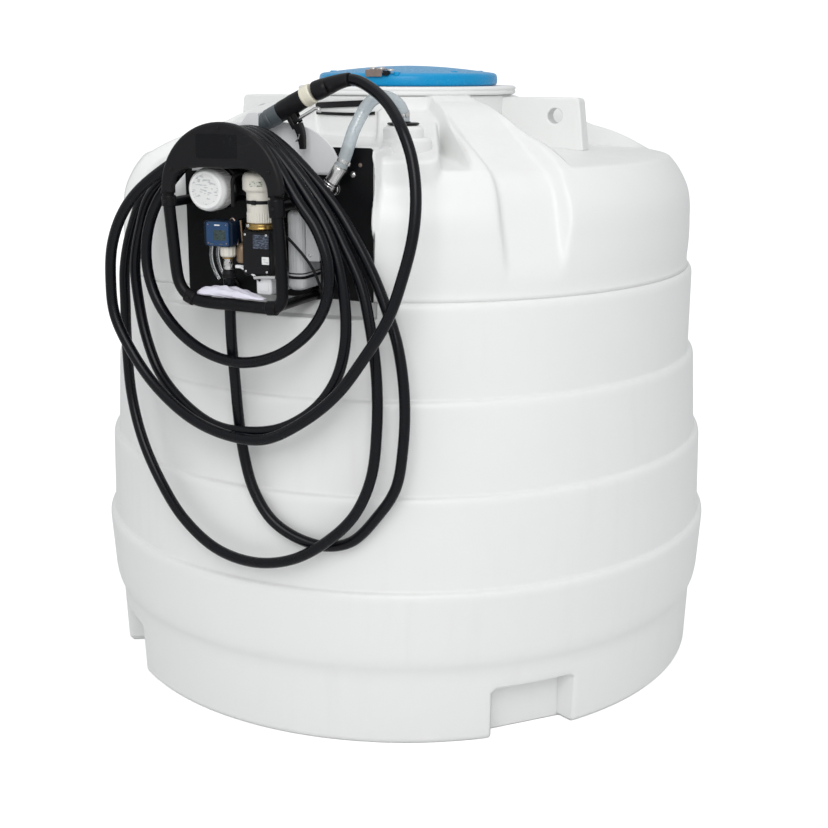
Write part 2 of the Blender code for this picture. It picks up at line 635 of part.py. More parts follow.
def make_bag():
    """Make the folded bag that lies on the bottom tube of the frame."""
    sections = []
    for x, low, high, front, back in ((-0.158, 1.1785, 1.188, -0.950, -0.935),
                                      (-0.130, 1.1770, 1.202, -0.962, -0.9235),
                                      (-0.085, 1.1765, 1.208, -0.966, -0.9230),
                                      (-0.040, 1.1760, 1.204, -0.962, -0.9235),
                                      (-0.004, 1.1755, 1.186, -0.950, -0.935)):
        sections.append([(x, front, low), (x, back, low), (x, back, high), (x, front, high)])
    loft("folded_bag", sections, CLOTH)


def along_nozzle(along, below=0.0):
    """Give the point at a distance along the nozzle's axis and a distance below it."""
    lean = math.radians(NOZZLE_LEAN)
    forward = Vector((math.cos(lean), 0, math.sin(lean)))
    down = Vector((math.sin(lean), 0, -math.cos(lean)))
    return Vector(NOZZLE_TIP) + forward * along + down * below


def nozzle_rod(name, start, outline, finish, segments=SMALL_SEGMENTS):
    """Turn an outline about the nozzle's axis, from a distance along it."""
    direction = along_nozzle(1.0) - along_nozzle(0.0)
    return rod(name, along_nozzle(start), direction, outline, finish, segments)


def nozzle_strip(name, path, thick, half, finish):
    """Sweep a flat strip along (distance along, distance below) points of the nozzle."""
    points = [np.array(p) for p in path]
    sections = []
    for k, point in enumerate(points):
        heading = points[min(k + 1, len(points) - 1)] - points[max(k - 1, 0)]
        across = np.array((-heading[1], heading[0])) / np.linalg.norm(heading) * thick / 2
        ring = []
        for side, y in ((-1, -half), (1, -half), (1, half), (-1, half)):
            place = along_nozzle(*(point + side * across))
            ring.append((place.x, place.y + y, place.z))
        sections.append(ring)
    return loft(name, sections, finish)


def swivel_points():
    """Give the swivel's start, its direction and the point where the hose meets it."""
    lean = math.radians(SWIVEL_LEAN)
    direction = Vector((math.cos(lean), 0, math.sin(lean)))
    start = along_nozzle(SLEEVE_LENGTH + BODY_LENGTH + COLLAR_LENGTH + 0.0055)
    return start, direction, start + direction * (SWIVEL_LENGTH + GAP)


def make_nozzle():
    """Make the nozzle in its holder: sleeve, body with guard, collar, swivel and trigger."""
    left, right = NOZZLE_TIP[0] - 0.049, NOZZLE_TIP[0] + 0.005
    seat = SADDLE_CENTRE[1] + SADDLE_RADIUS + GAP
    holder = box("nozzle_holder", (left, right), (-0.8085, PLATE_FRONT - 0.0068), (seat, 1.608), PALE_GREY)
    combine(holder, nozzle_rod("pocket", -0.020, ((0, 0), (0.0222, 0), (0.0222, 0.10), (0, 0.10)),
                               BLACK, 32), "DIFFERENCE")
    nozzle_rod("nozzle_sleeve", -0.020 + GAP,
               ((0, 0), (0.0190, 0), (0.0219, 0.012), (0.0219, 0.041), (0.0236, 0.045),
                (0.0234, SLEEVE_LENGTH + 0.019), (0, SLEEVE_LENGTH + 0.019)), SLATE, 32)
    body = nozzle_rod("nozzle_body", SLEEVE_LENGTH,
                      ((0, 0), (0.0228, 0), (0.0242, 0.010), (0.0242, 0.050), (0.0230, BODY_LENGTH),
                       (0, BODY_LENGTH)), BLACK, 32)
    for path, thick in ((((0.0785, 0.018), (0.0795, 0.052)), 0.013),
                        (((0.0893, 0.046), (0.0875, 0.066), (0.0815, 0.085), (0.0730, 0.104)), 0.024)):
        combine(body, nozzle_strip("guard", path, thick, 0.010, BLACK), "UNION")
    cheek = ((TRIGGER_ALONG, 0.016), (TRIGGER_ALONG, TRIGGER_BELOW + 0.006))
    for side in (-1, 1):
        plate = nozzle_strip("cheek", cheek, 0.012, 0.0015, BLACK)
        plate.data.transform(Matrix.Translation((0, side * 0.0095, 0)))
        combine(body, plate, "UNION")
    pivot = along_nozzle(TRIGGER_ALONG, TRIGGER_BELOW)
    pin = rod("pin", pivot - Vector((0, 0.0100, 0)), (0, 1, 0),
              ((0, 0), (TRIGGER_PIN, 0), (TRIGGER_PIN, 0.020), (0, 0.020)), BLACK, 16)
    combine(body, pin, "UNION")
    nozzle_rod("nozzle_collar", SLEEVE_LENGTH + BODY_LENGTH + GAP,
               ((0, 0), (0.0235, 0), (0.0250, 0.004), (0.0250, COLLAR_LENGTH - 0.004),
                (0.0235, COLLAR_LENGTH), (0, COLLAR_LENGTH)), IVORY, 32)
    start, direction, _ = swivel_points()
    rod("nozzle_swivel", start, direction,
        ((0, 0), (0.0225, 0), (0.0235, 0.014), (0.0185, SWIVEL_LENGTH), (0, SWIVEL_LENGTH)), BLACK, 32)
    trigger = nozzle_strip("nozzle_trigger", ((TRIGGER_ALONG - 0.006, TRIGGER_BELOW),
                                              (TRIGGER_ALONG + 0.030, TRIGGER_BELOW - 0.001),
                                              (TRIGGER_ALONG + 0.064, TRIGGER_BELOW - 0.001)),
                           0.009, 0.0055, STEEL)
    eye = rod("eye", pivot - Vector((0, 0.02, 0)), (0, 1, 0),
              ((0, 0), (TRIGGER_PIN + GAP, 0), (TRIGGER_PIN + GAP, 0.04), (0, 0.04)), STEEL, 16)
    combine(trigger, eye, "DIFFERENCE")


def over_saddle(lane):
    """List the points of one pass of the hose over the saddle, in a lane at a given Y."""
    radius = SADDLE_RADIUS + HOSE_RADIUS + 0.0062
    return [(x, lane, z) for x, z in arc(SADDLE_CENTRE, radius, 48, 132, 3)]


HOSE_ROUTE = (
    (*OUTLET_CENTRE, OUTLET_HEIGHTS[-1] - GAP), (*OUTLET_CENTRE, 1.160), (-0.096, -0.903, 1.060),
    (-0.091, -0.900, 0.960), (-0.085, -0.900, 0.870), (-0.070, -0.903, 0.765),
    (-0.040, -0.912, 0.680), (0.010, -0.916, 0.610), (0.080, -0.914, 0.570),
    (0.155, -0.905, 0.555), (0.225, -0.900, 0.575), (0.290, -0.890, 0.645),
    (0.335, -0.880, 0.720), (0.350, -0.870, 0.820), (0.350, -0.860, 0.940),
    (0.330, -0.850, 1.060), (0.298, -0.840, 1.145), (0.260, -0.836, 1.230),
    (0.210, -0.836, 1.320), (0.150, -0.833, 1.405), *over_saddle(-0.825),
    (-0.370, -0.825, 1.410), (-0.420, -0.825, 1.320), (-0.450, -0.825, 1.215), (-0.455, -0.825, 1.110),
    (-0.460, -0.820, 0.990), (-0.450, -0.825, 0.870), (-0.410, -0.845, 0.760),
    (-0.345, -0.870, 0.660), (-0.255, -0.905, 0.575), (-0.145, -0.930, 0.515),
    (-0.025, -0.945, 0.500), (0.085, -0.948, 0.525), (0.180, -0.940, 0.585),
    (0.245, -0.925, 0.655), (0.280, -0.905, 0.745), (0.290, -0.890, 0.865),
    (0.285, -0.880, 1.000), (0.265, -0.872, 1.120), (0.240, -0.865, 1.210),
    (0.195, -0.861, 1.300), (0.145, -0.858, 1.385), *over_saddle(-0.855),
    (-0.340, -0.855, 1.405),
    (-0.375, -0.860, 1.315), (-0.395, -0.860, 1.225), (-0.390, -0.860, 1.135),
    (-0.365, -0.870, 1.040), (-0.320, -0.885, 0.955), (-0.240, -0.910, 0.890),
    (-0.140, -0.930, 0.845), (-0.035, -0.940, 0.840), (0.060, -0.940, 0.860),
    (0.145, -0.930, 0.915), (0.195, -0.920, 0.985), (0.215, -0.910, 1.060),
    (0.215, -0.900, 1.145), (0.200, -0.895, 1.240), (0.170, -0.890, 1.325),
    (0.125, -0.887, 1.400), *over_saddle(-0.885), (-0.300, -0.885, 1.395), (-0.335, -0.890, 1.305),
    (-0.335, -0.895, 1.220), (-0.305, -0.900, 1.140), (-0.235, -0.915, 1.070),
    (-0.140, -0.930, 1.025), (-0.040, -0.940, 1.015), (0.060, -0.940, 1.045),
    (0.140, -0.930, 1.110), (0.175, -0.920, 1.180), (0.180, -0.920, 1.265),
    (0.150, -0.917, 1.345), (0.105, -0.915, 1.405), *over_saddle(-0.915),
    (-0.330, -0.915, 1.425),
    (-0.385, -0.920, 1.360), (-0.420, -0.920, 1.280), (-0.430, -0.920, 1.190),
    (-0.420, -0.925, 1.105), (-0.375, -0.930, 1.020), (-0.300, -0.940, 0.935),
    (-0.190, -0.957, 0.865), (-0.075, -0.972, 0.835), (0.025, -0.972, 0.835),
    (0.125, -0.970, 0.885), (0.215, -0.960, 0.960), (0.285, -0.950, 1.055),
    (0.340, -0.935, 1.150), (0.370, -0.920, 1.245), (0.390, -0.905, 1.345),
    (0.390, -0.890, 1.435), (0.373, -0.875, 1.515), (0.343, -0.860, 1.578), (0.305, -0.835, 1.623),
    (0.276, -0.820, 1.647), (0.244, -0.810, 1.667), (0.212, -0.800, 1.681), (0.184, -0.794, 1.686),
    (0.156, -0.789, 1.6815),
)


SUCTION_ROUTE = (
    (0.128, -0.790, 1.443), (0.140, -0.787, 1.462), (0.157, -0.781, 1.493), (0.1695, -0.775, 1.532),
    (0.1790, -0.768, 1.566), (0.1905, -0.757, 1.596), (0.2000, -0.742, 1.620), (0.2100, -0.722, 1.638),
    (0.2210, -0.700, 1.6455), (0.2325, -0.676, 1.6415), (0.2420, -0.6545, 1.631),
    (0.2490, -0.6385, 1.6155), (0.2514, -0.6318, 1.5990), (0.2514, -0.6318, DISC_TOP + 2 * GAP),
)

CABLE_ROUTE = (
    (0.0283, -0.872, 1.322), (0.040, -0.872, 1.322), (0.082, -0.872, 1.286), (0.113, -0.870, 1.247),
    (0.131, -0.868, 1.209), (0.136, -0.855, 1.180), (0.122, -0.830, 1.170), (0.105, -0.800, 1.190),
    (0.1000, -0.790, 1.235), (0.1000, -0.790, 1.2577),
)


def make_hoses():
    """Make the delivery hose along its loops, and the suction hose and its fittings."""
    _, direction, end = swivel_points()
    route = HOSE_ROUTE + (tuple(end + direction * 0.022), tuple(end))
    path = hose_path(route, 0.75, 30.0)
    tube("delivery_hose", path, HOSE_RADIUS, RUBBER, 2)
    path = hose_path(SUCTION_ROUTE, 0.60, 16.0)
    tube("suction_hose", path, SUCTION_RADIUS, CLEAR, 2)
    centre = polar(BOSS_RADIAL, 0, STEP_ANGLE, 0)
    upright("boss_flange", (centre.x, centre.y),
            ((0, STEP_TOP + GAP), (DISC_RADIUS, STEP_TOP + GAP), (DISC_RADIUS, DISC_TOP), (0, DISC_TOP)),
            BLACK, 32)
    start = Vector(SUCTION_ROUTE[0])
    away = Vector(path[0] - path[1]).normalized()
    start += away * GAP
    fitting = rod("suction_fitting", start, away,
                  ((0, 0), (0.0185, 0), (0.0185, 0.026), (0.0150, 0.034), (0, 0.034)), STEEL, 32)
    bend = start + away * 0.022
    leg = PLATE_FRONT - bend.y
    elbow = rod("elbow", bend, (0, 1, 0),
                ((0, 0), (0.013, 0), (0.013, leg - 0.006), (0.022, leg - 0.006), (0.022, leg),
                 (0, leg)), STEEL, 32)
    combine(fitting, elbow, "UNION")
    tube("power_cable", hose_path(CABLE_ROUTE, 0.60, 16.0), CABLE_RADIUS, BLACK, 2)


def main():
    """Build every piece of the tank and its pump."""
    clear_scene()
    make_walls()
    make_roof()
    make_manhole()
    make_lugs()
    make_frame()
    make_saddle()
    make_filter()
    make_meter()
    make_motor()
    make_bag()
    make_nozzle()
    make_hoses()


main()
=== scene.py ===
"""The look of a white moulded tank with a wall-hung dispensing pump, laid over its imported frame.

Metres, +Z up. The pump hangs on the -Y side, and the lifting lugs stand at +X and -X. An azimuth
is measured from -Y towards +X.
"""
import logging
import math
from dataclasses import dataclass, field
from enum import Enum
from typing import Callable, Sequence, Union

import bpy
import numpy as np
from mathutils import Matrix, Vector


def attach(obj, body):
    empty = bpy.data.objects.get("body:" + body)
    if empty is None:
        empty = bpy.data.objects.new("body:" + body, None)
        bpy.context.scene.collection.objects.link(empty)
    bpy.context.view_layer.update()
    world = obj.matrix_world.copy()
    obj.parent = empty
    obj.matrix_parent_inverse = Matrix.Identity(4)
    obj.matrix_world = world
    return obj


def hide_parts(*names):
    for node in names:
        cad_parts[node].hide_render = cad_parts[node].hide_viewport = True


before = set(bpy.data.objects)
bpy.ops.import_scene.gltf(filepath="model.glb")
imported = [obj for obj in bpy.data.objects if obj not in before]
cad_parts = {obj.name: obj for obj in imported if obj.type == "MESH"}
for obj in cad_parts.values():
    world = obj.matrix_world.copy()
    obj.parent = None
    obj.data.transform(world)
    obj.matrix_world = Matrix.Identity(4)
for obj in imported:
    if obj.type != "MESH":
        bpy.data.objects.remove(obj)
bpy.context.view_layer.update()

LOG = logging.getLogger("tank")
Array = np.ndarray
Piece = bpy.types.Object
Tree = bpy.types.NodeTree
Socket = bpy.types.NodeSocket
Value = Union[Socket, float, tuple]


# Forms

@dataclass
class Form:
    """A mesh as whole arrays: points, faces of four corners, and flat faces of many corners."""

    points: Array
    quads: Array = field(default_factory=lambda: np.zeros((0, 4), int))
    plates: list = field(default_factory=list)

    def placed(self, matrix: Matrix) -> "Form":
        """Give the form moved and turned by a matrix.

        Args:
            matrix: a 4 by 4 placement.

        Returns:
            A new form, with its faces still outward.
        """
        grid = np.array(matrix)
        return Form(self.points @ grid[:3, :3].T + grid[:3, 3], self.quads, self.plates)

    def moved(self, x: float = 0.0, y: float = 0.0, z: float = 0.0) -> "Form":
        """Give the form moved by a distance along each axis."""
        return Form(self.points + np.array((x, y, z)), self.quads, self.plates)

    def area_vectors(self) -> tuple[Array, list]:
        """Give each face's area as a vector along its normal: half the cross product of diagonals.

        Returns:
            One vector for each quad, and a list of one vector for each plate.
        """
        a, b, c, d = (self.points[self.quads[:, k]] for k in range(4))
        quads = 0.5 * np.cross(c - a, d - b)
        plates = []
        for plate in self.plates:
            ring = self.points[plate]
            plates.append(0.5 * np.cross(ring, np.roll(ring, -1, axis=0)).sum(axis=0))
        return quads, plates

    def outward(self) -> "Form":
        """Turn the faces of a closed form outward, by the sign of its volume.

        Returns:
            The form itself, or a copy with every face turned round.
        """
        quads, plates = self.area_vectors()
        volume = np.sum(self.points[self.quads].mean(axis=1) * quads)
        volume += sum(np.dot(self.points[p].mean(axis=0), v) for p, v in zip(self.plates, plates))
        if volume >= 0:
            return self
        return Form(self.points, self.quads[:, ::-1], [p[::-1] for p in self.plates])

    def normals(self) -> Array:
        """Average the normals of the faces round each point, weighted by their area.

        Returns:
            One normal of length one for each point.
        """
        quads, plates = self.area_vectors()
        total = np.zeros_like(self.points)
        for k in range(4):
            np.add.at(total, self.quads[:, k], quads)
        for plate, vector in zip(self.plates, plates):
            total[plate] += vector
        size = np.linalg.norm(total, axis=1, keepdims=True)
        return total / np.maximum(size, 1e-12)


def join(forms: Sequence[Form]) -> Form:
    """Put several forms into one.

    Args:
        forms: closed forms, which keep their own points.

    Returns:
        One form that holds them all.
    """
    starts = np.cumsum([0] + [len(form.points) for form in forms])
    return Form(np.vstack([form.points for form in forms]),
                np.vstack([form.quads + start for form, start in zip(forms, starts)]),
                [plate + start for form, start in zip(forms, starts) for plate in form.plates])


def grid(points: Array, wrap_u: bool = True, wrap_v: bool = False, caps: bool = False) -> Form:
    """Make a form from a grid of points, rows along v and columns along u.

    Args:
        points: an array of rows, columns and three values.
        wrap_u: whether the last column joins the first.
        wrap_v: whether the last row joins the first.
        caps: whether the first and last rows are closed by flat plates.

    Returns:
        The form, with its faces outward if it is closed.
    """
    rows, columns = points.shape[:2]
    v = np.arange(rows if wrap_v else rows - 1)[:, None]
    u = np.arange(columns if wrap_u else columns - 1)[None, :]
    after_v, after_u = (v + 1) % rows, (u + 1) % columns
    quads = np.stack(np.broadcast_arrays(v * columns + u, v * columns + after_u,
                                         after_v * columns + after_u, after_v * columns + u),
                     axis=-1).reshape(-1, 4)
    plates = []
    if caps:
        plates = [np.arange(columns)[::-1], (rows - 1) * columns + np.arange(columns)]
    return Form(points.reshape(-1, 3), quads, plates).outward()


def rounded(outline: Sequence, radius: float | Sequence, steps: int = 5, closed: bool = True) -> Array:
    """Round the corners of an outline. Each corner becomes a quadratic curve between two points.

    Args:
        outline: the corners, two or three values each.
        radius: how far from a corner its curve starts, one value or one for each corner.
        steps: how many pieces each curve has.
        closed: whether the outline joins its start.

    Returns:
        The rounded outline.
    """
    corners = np.asarray(outline, float)
    reach = np.broadcast_to(np.asarray(radius, float), len(corners))[:, None]

    def towards(other: Array) -> Array:
        """Give the point on each edge where the curve starts.

        Args:
            other: the corner at the edge's other end.

        Returns:
            One point for each corner.
        """
        gap = other - corners
        length = np.maximum(np.linalg.norm(gap, axis=1, keepdims=True), 1e-9)
        return corners + gap * np.minimum(reach, 0.48 * length) / length

    start = towards(np.roll(corners, 1, axis=0))[:, None]
    end = towards(np.roll(corners, -1, axis=0))[:, None]
    t = np.linspace(0, 1, steps + 1)[None, :, None]
    curve = (1 - t) ** 2 * start + 2 * t * (1 - t) * corners[:, None] + t ** 2 * end
    if closed:
        return curve.reshape(-1, corners.shape[1])
    return np.vstack([corners[:1], curve[1:-1].reshape(-1, corners.shape[1]), corners[-1:]])


def lathe(profile: Sequence, segments: int = 48, closed: bool = False) -> Form:
    """Turn a profile of (radius, height) about Z: x is r cos t, y is r sin t, z is the height.

    Args:
        profile: the points, from axis to axis unless it is closed.
        segments: how many columns go round.
        closed: whether the profile joins its start, for a ring.

    Returns:
        The turned form.
    """
    line = np.asarray(profile, float)
    turn = np.arange(segments) * 2 * math.pi / segments
    r, z = line[:, :1], line[:, 1:2]
    points = np.stack([r * np.cos(turn), r * np.sin(turn), np.broadcast_to(z, (len(line), segments))],
                      axis=-1)
    return grid(points, wrap_v=closed, caps=not closed)


def turned(profile: Sequence, edge: float = 0.002, segments: int = 48, steps: int = 4) -> Form:
    """Turn a solid profile with rounded edges; its ends are closed by small plates at the axis.

    Args:
        profile: (radius, height) corners from the bottom up, without points on the axis.
        edge: radius of each corner.
        segments: how many columns go round.
        steps: how many pieces each corner's curve has.

    Returns:
        The closed form.
    """
    corners = [(0.0003, profile[0][1]), *profile, (0.0003, profile[-1][1])]
    return lathe(rounded(corners, edge, steps, closed=False), segments)


def extruded(outline: Array, depth: float, edge: float = 0.002, steps: int = 4) -> Form:
    """Raise a flat outline along Z with rounded edges, by rows that are inset along its normals.

    Args:
        outline: a closed ring of (x, y) points, already smooth.
        depth: how far it is raised from z = 0.
        edge: radius of the edge at both ends.
        steps: how many rows the rounding has.

    Returns:
        The closed form with a flat plate at each end.
    """
    ring = np.asarray(outline, float)
    along = np.roll(ring, -1, axis=0) - np.roll(ring, 1, axis=0)
    along /= np.maximum(np.linalg.norm(along, axis=1, keepdims=True), 1e-12)
    turn = np.sum(ring[:, 0] * np.roll(ring[:, 1], -1) - np.roll(ring[:, 0], -1) * ring[:, 1])
    inward = np.stack([-along[:, 1], along[:, 0]], axis=1) * np.sign(turn)
    a = np.linspace(0, math.pi / 2, steps + 1)
    inset = edge * np.concatenate([1 - np.sin(a), 1 - np.cos(a)])
    height = np.concatenate([edge * (1 - np.cos(a)), depth - edge + edge * np.sin(a)])
    flat = ring[None] + inward[None] * inset[:, None, None]
    points = np.concatenate([flat, np.broadcast_to(height[:, None, None], flat.shape[:2] + (1,))],
                            axis=2)
    return grid(points, caps=True)


def slab(first: Array, second: Array, depth: float, edge: float = 0.002, steps: int = 5,
         closed: bool = False) -> Form:
    """Fill the strip between two lines with a plate whose section has rounded corners.

    Args:
        first: the (x, y) points of one side.
        second: as many points of the other side.
        depth: the plate's thickness along Z, from z = 0.
        edge: radius of the rounding.
        steps: how many pieces each corner has.
        closed: whether both lines are rings.

    Returns:
        The closed form.
    """
    away = second - first
    away = (away / np.linalg.norm(away, axis=1, keepdims=True))[:, None]
    t = np.linspace(0, math.pi / 2, steps + 1)
    shift = edge * np.concatenate([1 - np.cos(t), np.sin(t) - 1])
    rise = depth - edge * np.concatenate([1 - np.sin(t), 1 - np.cos(t)])
    base = np.concatenate([np.repeat(first[:, None], steps + 1, axis=1),
                           np.repeat(second[:, None], steps + 1, axis=1)], axis=1)
    flat = base + away * shift[None, :, None]
    flat = np.concatenate([flat, flat[:, ::-1]], axis=1)
    height = np.broadcast_to(np.concatenate([rise, depth - rise[::-1]])[None, :, None],
                             flat.shape[:2] + (1,))
    return grid(np.concatenate([flat, height], axis=2), wrap_v=closed, caps=not closed)


def box(xs: Sequence, ys: Sequence, zs: Sequence, corner: float = 0.003, edge: float = 0.0015,
        up: int = 2) -> Form:
    """Make a box with rounded corners and edges between two values on each axis.

    Args:
        xs: the two X values.
        ys: the two Y values.
        zs: the two Z values.
        corner: radius of the four corners round the axis that it is raised along.
        edge: radius of the edges at both ends.
        up: the axis that it is raised along.

    Returns:
        The closed form.
    """
    spans = [sorted(xs), sorted(ys), sorted(zs)]
    first, second = (up + 1) % 3, (up + 2) % 3
    (a, b), (c, d) = spans[first], spans[second]
    form = extruded(rounded([(a, c), (b, c), (b, d), (a, d)], corner), spans[up][1] - spans[up][0],
                    edge)
    points = np.empty_like(form.points)
    points[:, first], points[:, second] = form.points[:, 0], form.points[:, 1]
    points[:, up] = form.points[:, 2] + spans[up][0]
    return Form(points, form.quads, form.plates).outward()


def aim(point: Sequence, direction: Sequence) -> Matrix:
    """Give the placement that sends +Z along a direction and the origin to a point."""
    turn = Vector((0, 0, 1)).rotation_difference(Vector(direction))
    return Matrix.Translation(Vector(point)) @ turn.to_matrix().to_4x4()


def facing(y: float, mirror: float = 1.0) -> Matrix:
    """Give the placement that stands a drawing in XZ: its X stays X, its Y is up, its Z is -Y."""
    return Matrix(((mirror, 0, 0, 0), (0, 0, -1, y), (0, 1, 0, 0), (0, 0, 0, 1)))


def arc(centre: Sequence, radius: float, start: float, end: float, steps: int) -> Array:
    """Give points on an arc between two angles in degrees."""
    turn = np.radians(np.linspace(start, end, steps + 1))
    return np.stack([centre[0] + radius * np.cos(turn), centre[1] + radius * np.sin(turn)], axis=1)


def swept(section: Array, path: Array, scale: Array | None = None,
          side: Sequence = (0.0, 1.0, 0.0)) -> Form:
    """Carry a closed section along a path in a plane: point = path + a x side + b x (side x heading).

    Args:
        section: the ring of (a, b) points.
        path: the points that it follows.
        scale: one factor for each path point.
        side: the direction square to the path's plane.

    Returns:
        The closed form with flat ends.
    """
    line = np.asarray(path, float)
    heading = np.gradient(line, axis=0)
    heading /= np.linalg.norm(heading, axis=1, keepdims=True)
    across = np.broadcast_to(np.asarray(side, float), line.shape)
    over = np.cross(across, heading)
    size = np.ones(len(line)) if scale is None else np.asarray(scale, float)
    ring = np.asarray(section, float)
    points = (line[:, None] + size[:, None, None] * (ring[None, :, :1] * across[:, None]
                                                     + ring[None, :, 1:2] * over[:, None]))
    return grid(points, caps=True)


def smooth_line(knots: Sequence, steps: int = 16) -> Array:
    """Read a centripetal curve through knots, where the time between two is the root of their gap.

    Args:
        knots: the points that the curve passes through.
        steps: how many pieces lie between two knots.

    Returns:
        The points of the curve.
    """
    p = np.asarray(knots, float)
    p = np.vstack([2 * p[0] - p[1], p, 2 * p[-1] - p[-2]])
    p0, p1, p2, p3 = (p[k:len(p) - 3 + k, None] for k in range(4))
    t1 = np.linalg.norm(p1 - p0, axis=2, keepdims=True) ** 0.5
    t2 = t1 + np.linalg.norm(p2 - p1, axis=2, keepdims=True) ** 0.5
    t3 = t2 + np.linalg.norm(p3 - p2, axis=2, keepdims=True) ** 0.5
    t = t1 + (t2 - t1) * (np.arange(steps) / steps)[None, :, None]
    a1 = (t1 - t) / t1 * p0 + t / t1 * p1
    a2 = (t2 - t) / (t2 - t1) * p1 + (t - t1) / (t2 - t1) * p2
    a3 = (t3 - t) / (t3 - t2) * p2 + (t - t2) / (t3 - t2) * p3
    b1 = (t2 - t) / t2 * a1 + t / t2 * a2
    b2 = (t3 - t) / (t3 - t1) * a2 + (t - t1) / (t3 - t1) * a3
    curve = (t2 - t) / (t2 - t1) * b1 + (t - t1) / (t2 - t1) * b2
    return np.vstack([curve.reshape(-1, p.shape[1]), p[-2:-1]])


def even_steps(line: Array, step: float) -> Array:
    """Read points along a line at an even spacing.

    Args:
        line: the points of the line.
        step: the spacing, in metres.

    Returns:
        The points at even steps, with both ends.
    """
    travel = np.append(0, np.cumsum(np.linalg.norm(np.diff(line, axis=0), axis=1)))
    marks = np.linspace(0, travel[-1], max(int(travel[-1] / step), 2) + 1)
    return np.stack([np.interp(marks, travel, line[:, k]) for k in range(3)], axis=1)


def line_length(line: Array) -> float:
    """Give the length of a line of points."""
    return float(np.linalg.norm(np.diff(line, axis=0), axis=1).sum())


# Finishes

class Graph:
    """Adds nodes to one tree and links them."""

    def __init__(self, tree: Tree) -> None:
        """Keep the tree that nodes go in."""
        self.tree = tree

    def add(self, kind: str, values: dict | None = None, **settings) -> bpy.types.Node:
        """Add a node, set its options, and set or link its inputs.

        Args:
            kind: the node's type name without the ShaderNode prefix.
            values: for each input, a constant or the socket that feeds it.
            settings: the node's own options.

        Returns:
            The node.
        """
        node = self.tree.nodes.new("ShaderNode" + kind)
        for name, value in settings.items():
            setattr(node, name, value)
        for name, value in (values or {}).items():
            if isinstance(value, bpy.types.NodeSocket):
                self.tree.links.new(value, node.inputs[name])
            else:
                node.inputs[name].default_value = value
        return node

    def place(self) -> Socket:
        """Add the object's own coordinates and give their socket."""
        return self.add("TexCoord").outputs["Object"]

    def noise(self, where: Socket, scale: Value, detail: float = 3.0, rough: float = 0.5) -> Socket:
        """Add a noise texture and give its value socket."""
        return self.add("TexNoise", {"Vector": where, "Scale": scale, "Detail": detail,
                                     "Roughness": rough}).outputs["Fac"]

    def maths(self, operation: str, first: Value, second: Value = 0.0) -> Socket:
        """Add one sum on two values and give its socket."""
        return self.add("Math", {0: first, 1: second}, operation=operation).outputs[0]

    def span(self, value: Socket, low: float, high: float, to_low: float = 0.0,
             to_high: float = 1.0) -> Socket:
        """Stretch a value from one range to another, held inside it, and give its socket."""
        return self.add("MapRange", {"Value": value, "From Min": low, "From Max": high,
                                     "To Min": to_low, "To Max": to_high}).outputs[0]

    def blend(self, share: Value, first: Value, second: Value) -> Socket:
        """Mix two colours by a share and give the colour socket.

        Args:
            share: how much of the second colour.
            first: a colour or its socket.
            second: a colour or its socket.

        Returns:
            The mixed colour.
        """
        node = self.add("Mix", data_type="RGBA")
        for slot, value in ((0, share), (6, first), (7, second)):
            if isinstance(value, bpy.types.NodeSocket):
                self.tree.links.new(value, node.inputs[slot])
            else:
                node.inputs[slot].default_value = value if slot == 0 else (*value, 1.0)
        return node.outputs[2]


class Effect(Enum):
    """The effects that several finishes share, each a node group."""

    GRAIN = "Grain"
    MOTTLE = "Mottle"
    WEAR = "Edge wear"
    DUST = "Dust"
    RUNS = "Runs"
    SCRATCH = "Scratches"


def group_of(effect: Effect) -> Tree:
    """Give an effect's node group, and make it the first time.

    Args:
        effect: which effect.

    Returns:
        The node group, with its named inputs and outputs.
    """
    made = bpy.data.node_groups.get(effect.value)
    if made is not None:
        return made
    made = bpy.data.node_groups.new(effect.value, "ShaderNodeTree")
    makers = {Effect.GRAIN: fill_grain, Effect.MOTTLE: fill_mottle, Effect.WEAR: fill_wear,
              Effect.DUST: fill_dust, Effect.RUNS: fill_runs, Effect.SCRATCH: fill_scratch}
    makers[effect](made)
    return made


def group_ends(tree: Tree, inputs: dict, outputs: dict) -> tuple:
    """Name a group's inputs and outputs and add its two end nodes.

    Args:
        tree: the group.
        inputs: for each input, its default value.
        outputs: for each output, its socket type.

    Returns:
        The drawing helper, the input node and the output node.
    """
    for name, value in inputs.items():
        kind = "NodeSocketColor" if isinstance(value, tuple) else "NodeSocketFloat"
        tree.interface.new_socket(name, in_out="INPUT", socket_type=kind).default_value = value
    for name, kind in outputs.items():
        tree.interface.new_socket(name, in_out="OUTPUT", socket_type=kind)
    return (Graph(tree), tree.nodes.new("NodeGroupInput").outputs,
            tree.nodes.new("NodeGroupOutput").inputs)


def fill_grain(tree: Tree) -> None:
    """Fine moulded grain: two noises, one four times finer, as a bumped normal.

    Args:
        tree: the group's node tree.
    """
    g, given, out = group_ends(tree, {"Scale": 300.0, "Height": 0.0002, "Strength": 0.4},
                               {"Normal": "NodeSocketVector"})
    where = g.place()
    coarse = g.noise(where, given["Scale"], 2.0)
    fine = g.noise(where, g.maths("MULTIPLY", given["Scale"], 4.1), 1.0)
    height = g.maths("ADD", coarse, g.maths("MULTIPLY", fine, 0.4))
    bump = g.add("Bump", {"Strength": given["Strength"], "Distance": given["Height"],
                          "Height": height})
    tree.links.new(bump.outputs["Normal"], out["Normal"])


